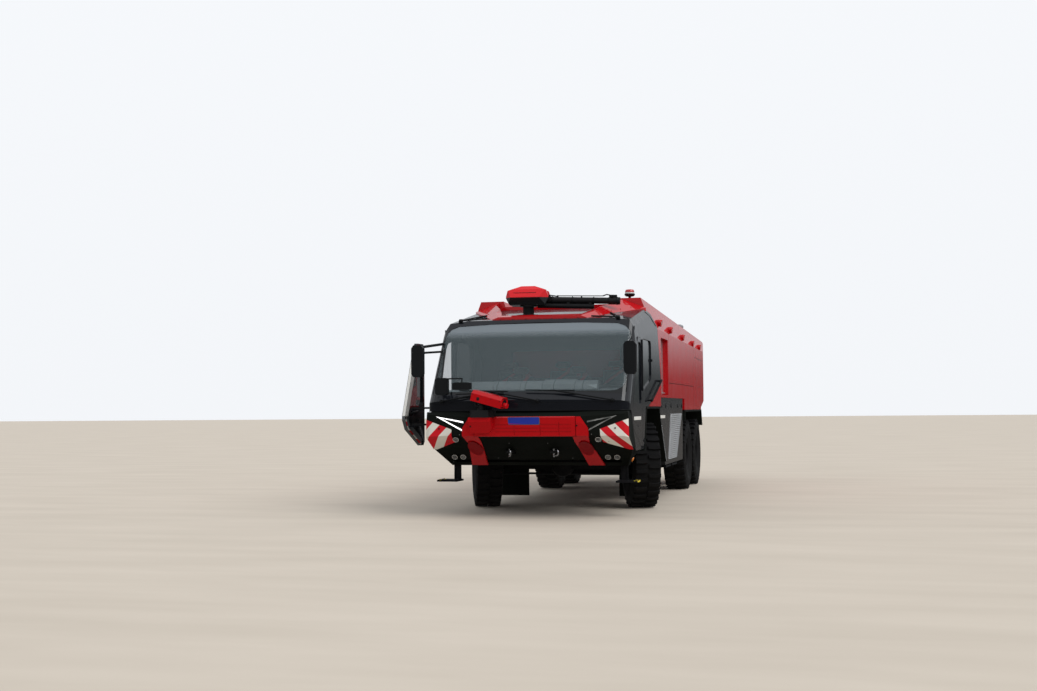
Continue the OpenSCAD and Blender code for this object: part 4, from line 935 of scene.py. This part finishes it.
# Flanges where the pipe is bolted together
for x in (250, 560, 890):
    nozzle.turned([(51, x - 8), (59, x - 7), (59, x + 7), (51, x + 8)])
for x, y, z in (((1130, 1250), 34, (48, 92)), ((1160, 1200), 58, (58, 78)), ((320, 340), 14, (44, 76)),
                ((690, 710), 14, (44, 76))):
    nozzle.block(x, (-y, y), z)
nozzle.rod([(1140, 0, 88), (1090, 0, 96), (1030, 0, 74)], 9)
nozzle.rod([(1030, 0, 74), (330, 0, 66)], 7)
build("nozzle", nozzle, [BLACK_PLASTIC], "turret_barrel", bevel=0.002)
link = Draft(barrel)
for side in (-58, 58):
    link.plate([(40, side, -30), (215, side, 6), (250, side, 46), (215, side, 60), (60, side, 40)],
               (0, math.copysign(7, -side), 0))
link.rod([(226, -62, 44), (226, 62, 44)], 10)
link.rod(bend([(90, 44, 62), (180, 50, 82), (250, 30, 70), (330, 10, 58)]), 9)
build("barrel_linkage", link, [STEEL], "turret_barrel", bevel=0.001)
hood_trim = Draft(turret)
for y in (-214, 214):
    hood_trim.rod([(-200, y, 95), (150, y, 95)], 4, 8)
hood_trim.turned([(40, 0), (40, 5), (30, 9)], (-70, 0, 198), UP, 24)
hood_trim.turned([(24, 0), (24, 30), (20, 34)], (-190, 60, 150), UP, 20)
build("hood_fittings", hood_trim, [BLACK_PLASTIC], "turret_head")

# %% [markdown]
# The bumper monitor has a hose bend with clamps at its rear, pivot bolts and rivets in the red shroud, and a
# black muzzle ring between two bars, level with the shroud's end.

# %% Monitor details
monitor = shift(-600, -5705, 1720) @ spin(-15, "Z")
shroud = monitor @ spin(14, "Y")
elbow = Draft(monitor)
curve = bend([(0, -52, -118), (-38, -60, -112), (-62, -58, -84), (-60, -52, -40), (-40, -44, -8),
              (-10, -40, 0)])
elbow.rod(curve, 15)
for k in range(2, len(curve) - 1, 2):
    elbow.turned([(15, -3), (18, -2), (18, 2), (15, 3)], curve[k], curve[k + 1] - curve[k - 1], 14)
elbow.turned([(44, -110), (50, -104), (50, -88), (44, -82)], (0, 0, 0), UP, 24)
build("monitor_bend", elbow, [BLACK_PLASTIC], "monitor_head")
for kind, places, radius, depth, sides in (("pivots", [(0, 0)], 16, 10, 20),
                                           ("rivets", [(x, 46) for x in (-95, 60, 210, 355)], 6, 5, 12)):
    spots = [((x, side * 95, z), (0, side, 0)) for side in (-1, 1) for x, z in places]
    peg_row("monitor_" + kind, spots, radius, depth, STEEL, "monitor_barrel", axes=shroud, sides=sides)
muzzle = Draft(shroud)
muzzle.turned([(52, 381), (52, 384), (44, 385), (40, 381), (20, 380.6)], (0, 0, 28))
for z in (-34, 90):
    muzzle.block((381, 385), (-80, 80), (z - 4, z + 4))
build("monitor_muzzle", muzzle, [BLACK_PLASTIC], "monitor_barrel")

# %% [markdown]
# The seats are foam under fabric. A slightly smaller block is remeshed and blown up by a short cloth
# simulation with gravity off, and each point's move is capped. Sewn channels and a piping groove are pressed
# in after it. One cushion, two backs and a headrest are simulated, and the five seats are made of copies.

# %% Padded blocks
VOXEL, FRAMES = 0.012, 20


def swollen(name, size, cap):
    """A pad in its own axes: x across, y deep, z high, from the middle of its foot, in millimetres."""
    half = [s / 2 - cap for s in size]
    block = bmesh.new()
    bmesh.ops.create_cube(block, size=2)
    for v in block.verts:
        v.co = Vector([c * h for c, h in zip(v.co, half)]) / 1000
    bmesh.ops.bevel(block, geom=block.edges[:], offset=0.022, segments=3, affect="EDGES")
    mesh = bpy.data.meshes.new(name)
    block.to_mesh(mesh)
    block.free()
    pad = in_scene(name + "_foam", mesh)
    remesh = pad.modifiers.new("remesh", "REMESH")
    remesh.mode = "VOXEL"
    remesh.voxel_size = VOXEL
    even = settled(pad)
    pad.modifiers.clear()
    pad.data = even
    start = [v.co.copy() for v in even.vertices]
    cloth = pad.modifiers.new("fabric", "CLOTH")
    cloth.settings.quality = 5
    cloth.settings.use_pressure = True
    cloth.settings.uniform_pressure_force = 4
    cloth.settings.effector_weights.gravity = 0
    cloth.point_cache.frame_start, cloth.point_cache.frame_end = 1, FRAMES
    for moment in range(1, FRAMES + 1):
        scene.frame_set(moment)
    even = settled(pad)
    for v, old in zip(even.vertices, start):
        move = v.co - old
        v.co = old + move * min(1, cap / 1000 / max(move.length, 1e-9))
    scene.frame_set(1)
    bpy.data.objects.remove(pad)
    points = [Vector(v.co) * 1000 + Vector((0, 0, size[2] / 2)) for v in even.vertices]
    print(name, len(points), "points")
    return points, [list(p.vertices) for p in even.polygons]


def sewn(pad, face, channels, border, depth=7, width=9):
    """Presses seams into one face: channels at given x, and a border at a distance from the face's edge."""
    half_x, top = max(p.x for p in pad[0]), max(p.z for p in pad[0])
    out = []
    for p in pad[0]:
        dents = [abs(p.x - x) for x in channels if border < p.z < top - border]
        near = min(dents + [abs(abs(p.x) - half_x + border)])
        amount = depth * math.exp(-(near / width) ** 2)
        if face == "top" and p.z > top * 0.6:
            out.append(p - Vector((0, 0, amount)))
        elif face == "front" and p.y < 0:
            out.append(p + Vector((0, amount, 0)))
        else:
            out.append(p.copy())
    return out, pad[1]


cushion = sewn(swollen("cushion", (500, 500, 130), 14), "top", (), 75)
tall_back = sewn(swollen("tall_back", (460, 106, 400), 13), "front", (-110, 110), 55)
low_back = sewn(swollen("low_back", (460, 106, 275), 13), "front", (-110, 110), 45)
headrest = swollen("headrest", (270, 90, 140), 12)

# %% [markdown]
# Each seat stands on a folded pedestal with rails. Its back leans ten degrees. A red belt runs from the
# shoulder across the back to the buckle beside the cushion, as a thin strap that lies on the pad.

# %% Seats
SEATS = [(450, -4540, 1250, "tall"), (-450, -4540, 1250, "tall"), (870, -3500, 1650, "low"),
         (0, -3500, 1650, "low"), (-870, -3500, 1650, "low")]
# Height of the pedestal, the pad of the back, and the back's height
SIZES = {"tall": (320, tall_back, 400), "low": (160, low_back, 275)}
stands, belts = Draft(), Draft()
for number, (x, y, z, kind) in enumerate(SEATS, 1):
    foot, back, high = SIZES[kind]
    rest = shift(x, y, z)
    seat = shift(x, y, z + foot)
    lean = seat @ shift(0, 470, 131) @ spin(-10, "X")
    for kind, pad, axes in (("cushion", cushion, seat @ shift(0, 250, 2)),
                            ("backrest", back, lean @ shift(0, 55, 8)),
                            ("headrest", headrest, lean @ shift(0, 55, high + 14))):
        draft = Draft(axes)
        draft.add(*pad)
        piece = build(f"{kind}_{number}", draft, [CLOTH])
    for side in (-1, 1):
        edge = side * 148
        corners = [(edge, 80, 2), (edge, 396, 2), (edge, 350, foot - 4), (edge, 120, foot - 4)]
        stands.plate(moved(rest, corners), (-side * 14, 0, 0))
        stands.rod(moved(rest, [(side * 120, 62, 10), (side * 120, 398, 10)]), 8)
        stands.rod(moved(lean, [(side * 60, 60, high - 40), (side * 60, 60, high + 60)]), 6)
    for axes, w, near, far, heights in ((lean, 215, 70, 108, (10, high - 20)),
                                        (seat, 225, 30, 480, (-14, 6))):
        stands.loops([moved(axes, [(-w, near, h), (w, near, h), (w, far, h), (-w, far, h)]) for h in heights])
    line = moved(lean, [(150, 70, high + 6), (140, 20, high + 4), (120, -14, high - 40), (-90, -14, 90)])
    line = bend(line + moved(seat, [(-180, 400, 140), (-262, 380, 60), (-262, 370, -20)]), 4)
    rings = []
    for k, p in enumerate(line):
        way = (line[min(k + 1, len(line) - 1)] - line[max(k - 1, 0)]).normalized()
        out = Vector((0, -0.98, 0.17)) if k < len(line) * 0.6 else Vector((-0.5, -0.2, 0.84))
        flat = way.cross(out).normalized()
        face = flat.cross(way).normalized()
        rings.append([p + flat * a + face * b for a, b in ((-24, 0), (24, 0), (24, 3), (-24, 3))])
    belts.loops(rings)
seat_frames = build("seat_frames", stands, [BLACK_PLASTIC], bevel=0.002)
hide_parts("seats")
build("seat_belts", belts, [WEBBING])

# %% [markdown]
# On the dashboard: a grey cowl in four parts, an instrument hood behind the wheel with two round dials, a
# rack of switches with a screen in the middle, and air vents. The steering wheel gets its hub cap and column.

# %% Dashboard details
BASE = on_top(0, -5150, ["dashboard"])[0].z
COWL = [(-5380, -2), (-5350, 60), (-5230, 128), (-5120, 120), (-5060, 60), (-5060, -2)]
HOOD_LINE = [(-5370, 0), (-5030, 0), (-5010, 80), (-5080, 138), (-5200, 150), (-5340, 80)]
fittings = Draft(shift(0, 0, BASE))
for line, low, high in ((COWL, -1010, -520), (COWL, -514, -120), (COWL, -114, 208), (COWL, 690, 1010),
                        (HOOD_LINE, 216, 682)):
    fittings.plate([(low, y, z) for y, z in line], (high - low, 0, 0), 2)
fittings.block((-190, 150), (-5120, -5010), (-2, 70))
fittings.block((-170, -20), (-5008, -5000), (4, 62), 1)
for x in (10, 56, 102):
    for z in (12, 38):
        fittings.block((x, x + 34), (-5010, -5000), (z, z + 18), 1)
for x in (-900, -560, 860, 1120):
    fittings.block((x - 70, x + 70), (-5000, -4950), (-2, 22))
    for slat in range(x - 62, x + 43, 26):
        fittings.block((slat, slat + 8), (-4952, -4946), (2, 18), 1)
for x in (340, 560):
    fittings.turned([(36, -4), (36, 24), (30, 26), (30, 19)], (x, -5030, 40), (0, 1, 0.25), 24, 1)
build("dash_fittings", fittings, [GREY_TRIM, BLACK_PLASTIC, DASH], bevel=0.006)

column = Draft(shift(450, -4860, 1850) @ spin(-35, "X"))
column.turned([(62, 6), (58, 22), (40, 30), (10, 32)], axis=UP)
column.turned([(44, 12), (48, 30), (52, 150), (40, 190)], axis=DOWN, sides=24)
for side in (-1, 1):
    column.rod([(side * 44, -10, -44), (side * 170, -40, -40)], 8)
build("steering_column", column, [BLACK_PLASTIC])

# %% [markdown]
# The doors carry a bright strip along the front edge and a dark metal one along the foot, with striped tape
# under it. Both sides of the edge are covered: the face that looks forward when the door stands open, and a
# margin of the inner face. Every piece is drawn once on the closed left door and carried to the open one.

# %% Door edges and linings
EDGE = [(-4640, 2540), (-5165, 1480), (-5165, 1415), (-5050, 1270), (-4420, 1010)]
LINING = [(-4590, 1480), (-5010, 1480), (-5040, 1450), (-4980, 1360), (-4860, 1310), (-4320, 1310),
          (-4290, 1340), (-4290, 1480)]
# Places across the truck: the door's inner face, and its outer one with a hair of room
INNER, OUTER = 1430, HALF_W - 0.2


def inset(line, depth):
    """The same line of points (y, z), moved inwards by a depth."""
    ways = [Vector(b) - Vector(a) for a, b in zip(line, line[1:])]
    normals = [Vector((-w.y, w.x)).normalized() for w in ways]
    out = []
    for k, p in enumerate(line):
        before, after = normals[max(k - 1, 0)], normals[min(k, len(normals) - 1)]
        out.append(Vector(p) + (before + after) * depth / (1 + before.dot(after)))
    return out


def band(draft, line, near, far, x, thick, tag):
    """A flat strip on a plane across x, between two depths inside the line."""
    outer, inner = inset(line, near), inset(line, far)
    for corners in zip(outer, inner, inner[1:], outer[1:]):
        draft.plate([(x, p.x, p.y) for p in corners], (thick, 0, 0), tag)


for side, axes in (("left", HERE), ("right", FLIP @ shift(676.1, 518.8, 0))):
    trim, lining, reflector, lock = (Draft(axes) for _ in range(4))
    for start, end, near, far, tag in ((0, 2, 4, 112, 0), (1, 5, 34, 120, 1), (2, 5, 3, 33, 2)):
        band(trim, EDGE[start:end], near, far, INNER, -2.5, tag)
    band(trim, EDGE[:2], -1, 2, 1436, 44, 0)
    band(trim, EDGE[1:], -1, 2, 1436, 44, 1)
    lining.plate([(1429.8, y, z) for y, z in LINING], (-14, 0, 0))
    # The raised middle of the lining is the same outline at four fifths of its size
    lining.plate([(1416, y * 0.8 - 930, z * 0.8 + 279) for y, z in LINING], (-8, 0, 0))
    lining.rod(bend([(1420, -4980, 1520), (1380, -4960, 1530), (1380, -4700, 1560), (1420, -4660, 1560)]), 13)
    lining.block((1385, 1417), (-4640, -4400), (1395, 1425))
    reflector.block((OUTER, OUTER + 1.4), (-5030, -4370), (1400, 1450))
    lock.block((OUTER, OUTER + 1.7), (-4700, -4640), (1300, 1326))
    body = "door_" + side
    build("door_edge_" + side, trim, [WHITE, GREY_TRIM, TAPE], body)
    build("door_lining_" + side, lining, [BLACK_PLASTIC], body, bevel=0.003)
    build("door_reflector_" + side, reflector, [WHITE], body)
    build("door_lock_" + side, lock, [BLACK_PLASTIC], body)

# %% [markdown]
# Along the sides run the lines of the photograph: a tall black bar behind each door, the rain channel that
# drops from the roof, the joint between the upper and the lower body panels, and reflective strips. Each line
# is laid on the panels by rays from outside.

# %% Lines and fittings along the sides
SIDES = ["cab_sides", "cab_roof", "cab_frame", "cab_glass", "body_shell", "cab_back"]
# Both ends as (y, z), the radius and the number of steps
LINES = [(-3270, 3085, -2640, 2895, 6, 10), (2950, 2600, 4470, 2572, 4, 10),
         (-1190, 2004, 2880, 2004, 2.6, 4), (3440, 2004, 5480, 2004, 2.6, 4)]
lines, marks, amber = Draft(), Draft(), Draft()
for side in (-1, 1):
    skin = side * HALF_W
    bar = [(skin - side * 0.4, y, z) for y, z in ((-4218, 1830), (-4190, 1830), (-4190, 2560), (-4218, 2600))]
    lines.plate(bar, (side * 16, 0, 0))
    for y0, z0, y1, z1, radius, steps in LINES:
        places = [(y0 + (y1 - y0) * k / steps, z0 + (z1 - z0) * k / steps) for k in range(steps + 1)]
        lines.rod([on_side(y, z, SIDES, side)[0] for y, z in places], radius, 6)
    x = on_side(-4670, 2735, SIDES, side)[0].x
    lines.block((x - side * 4, x + side * 3), (-4684, -4656), (2692, 2778))
    lines.block((skin - side * 0.4, skin + side * 11), (-3222, -3160), (2300, 2340))
    lines.block((skin + side * 10, skin + side * 17), (-3212, -3170), (2306, 2318))
    for y0, y1, nodes in ((-2110, -1530, ["side_lockers", "fenders"]),
                          (-760, 750, ["side_lockers", "body_shell"])):
        x = on_side((y0 + y1) / 2, 1425, nodes, side)[0].x
        marks.block((x - side, x + side * 1.5), (y0, y1), (1400, 1450))
    for y in (-4930, -4700):
        marks.block((side * 1450, side * 1506), (y, y + 70), (522, 526.5), 1)
    marks.block((side * 1504.6, side * 1506.4), (-4900, -4660), (503, 523), 1)
    amber.turned([(36, -2), (36, 6), (30, 14), (12, 18)], *on_side(-4630, 825, ["front_bumper"], side), 20)
build("side_lines", lines, [BLACK_PLASTIC])
build("side_marks", marks, [WHITE, YELLOW])
build("side_markers", amber, [AMBER])

# %% [markdown]
# Round bolts hold the wheel arches, rivets run beside the shutters and along the panels' edges, and each step
# has rows of teeth. Latches close the lockers, and a bar across the foot of each shutter is its handle.

# %% Fasteners and latches of the body
bolts, rivets, teeth = [], [], []
latches = Draft()
for side in (-1, 1):
    for z, places in ((1564, range(-3760, -2420, 165)), (1517, range(1240, 4060, 235))):
        bolts += [on_side(y, z, ["fenders"], side) for y in places]
    spots = [(y, z) for z in range(1830, 2711, 80) for y in (-2120, -1184)]
    spots += [(y, z) for y in range(-860, 2800, 180) for z in (2060, 2850)]
    # A rivet is kept where its spot lies on the flat side
    rivets += [((side * HALF_W, y, z), (side, 0, 0)) for y, z in spots
               if abs(abs(on_side(y, z, SIDES, side)[0].x) - HALF_W) < 1]
    teeth += [((side * (1265 + 30 * i), y + 59 * j, 590), UP) for y in (-1475, -635) for i in range(7)
              for j in range(11)]
    teeth += [((side * (1215 + 34 * i), -4945 + 24 * j, 525), UP) for i in (0, 8) for j in range(14)]
    for y in (-1980, -1400, -700, 250, 850):
        x = on_side(y, 1610, ["side_lockers", "side_grilles"], side)[0].x
        latches.block((x - side, x + side * 4), (y - 60, y + 60), (1570, 1650))
        latches.block((x + side * 3, x + side * 10), (y - 38, y + 38), (1590, 1612))
    x = on_side(-1650, 1850, ["roller_shutters"], side)[0].x
    latches.rod([(x + side * 26, -2050, 1822), (x + side * 26, -1254, 1822)], 11, tag=1)
    for y in (-2020, -1650, -1285):
        latches.block((x - side * 2, x + side * 30), (y - 8, y + 8), (1814, 1830), 1)
peg_row("arch_bolts", bolts, 9, 8, BLACK_PLASTIC, sides=16)
peg_row("panel_rivets", rivets, 5, 4, RED, sides=10)
build("locker_latches", latches, [STEEL, ALLOY], bevel=0.0015)
peg_row("step_teeth", teeth, 8, 7, TREADPLATE, sides=8, top_share=0.5)

# %% [markdown]
# The mirrors have silvered glass on the side that the driver sees. The tall ones are split in two by a bar.

# %% Mirror glass
silver = Draft()
for x, y, z, w, h, panes in ((1547, -5655, 2272, 176, 460, ((-0.45, -0.16), (-0.13, 0.45))),
                             (-1547, -5655, 2272, 176, 460, ((-0.45, -0.16), (-0.13, 0.45))),
                             (-1225, -5530, 1905, 190, 250, ((-0.44, 0.44),)),
                             (-885, -5660, 1905, 270, 110, ((-0.44, 0.44),))):
    for low, high in panes:
        silver.block((x - w * 0.42, x + w * 0.42), (y - 1, y + 1.2), (z + h * low, z + h * high))
build("mirror_glasses", silver, [MIRROR], bevel=0.001)

# %% [markdown]
# Below the frame it is dark in the photograph. A splash panel behind the front axle, with upright ribs, keeps
# the spray off the tanks there, and brake pipes pass in arcs over both sides of each axle. Dark plates close
# the slot of the bumper from behind, and two brackets carry the steps.

# %% Underside
belly = Draft()
belly.plate([(-868, -1560, 1140), (868, -1560, 1140), (868, -1560, 640), (700, -1560, 430),
             (-700, -1560, 430), (-868, -1560, 640)], (0, 6, 0))
for x in range(-700, 701, 280):
    belly.block((x - 6, x + 6), (-1574, -1559), (450, 1120))
for side in (-1, 1):
    for y in AXLE_Y.values():
        belly.rod(bend([(side * 520, y + 120, 1120), (side * 560, y + 180, 980), (side * 700, y + 170, 860),
                        (side * 800, y + 130, 800)]), 11)
    belly.block((side * 600, side * 1275), (-4600, -4590), (756, 900))
    belly.block((side * 1222, side * 1318), (-4640, -4632), (526, 738))
build("splash_panel", belly, [IRON])

# %% [markdown]
# At the tail the lamps are rows of cells behind the red covers, with a clear and an amber one among them. The
# rear door gets its handle, the rear plate stays blank, and tape marks the corners. Up on the roof lie two
# hatch lids with hinges and a filler cap.

# %% Tail and roof
tail = Draft()
for side in (-1, 1):
    tail.block((side * 1080, side * 1360), (5500.3, 5530), (2050, 2200), 3)
    tail.block((side * 1040, side * 1230), (5650.3, 5660), (1120, 1200), 3)
    for x, tag in ((1080, 0), (1150, 1), (1220, 2), (1290, 0)):
        tail.block((side * (x + 4), side * (x + 62)), (5529, 5540), (2056, 2194), tag)
    for tag, x in enumerate((1072, 1135, 1198)):
        tail.turned([(27, 0), (27, 6), (21, 10), (6, 11)], (side * x, 5659, 1160), BACK, 18, tag)
cells = build("tail_cells", tail, [RUBY, AMBER, FROSTED, BLACK_PLASTIC], bevel=0.0015)
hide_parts("tail_lamps")
rear_plate, handle, tape, lids = (Draft() for _ in range(4))
rear_plate.block((-260, 260), (5650, 5654), (1108, 1222))
handle.rod([(-300, 5562, 2062), (300, 5562, 2062)], 12)
for x in (-280, 0, 280):
    handle.block((x - 8, x + 8), (5530, 5562), (2054, 2070))
for side in (-1, 1):
    for low, high in ((1790, 1850), (2840, 2890)):
        near, far = [surface(["body_shell"], (side * x, 7000, (low + high) / 2), AHEAD)[0].y
                     for x in (960, 1240)]
        # Tape goes only where the wall behind it is flat
        if abs(near - far) < 1:
            tape.block((side * 960, side * 1240), (near - 1, near + 1.5), (low, high))
for y in (1200, 2300):
    deck = on_top(-500, y, ["body_shell"])[0].z
    lids.block((-760, -240), (y - 300, y + 300), (deck - 2, deck + 26))
    lids.rod([(-600, y - 260, deck + 34), (-400, y - 260, deck + 34)], 9)
    for x in (-700, -300):
        lids.block((x - 40, x + 40), (y + 280, y + 330), (deck - 1, deck + 34))
deck = on_top(-500, 3300, ["body_shell"])[0]
lids.turned([(150, -2), (150, 24), (140, 32), (30, 34), (30, 50), (20, 54)], deck, UP, 32)
build("rear_plate_blank", rear_plate, [BLUE], bevel=0.001)
build("rear_door_handle", handle, [ALLOY], bevel=0.001)
build("tail_tape", tape, [TAPE])
build("roof_hatches", lids, [RED], bevel=0.004)
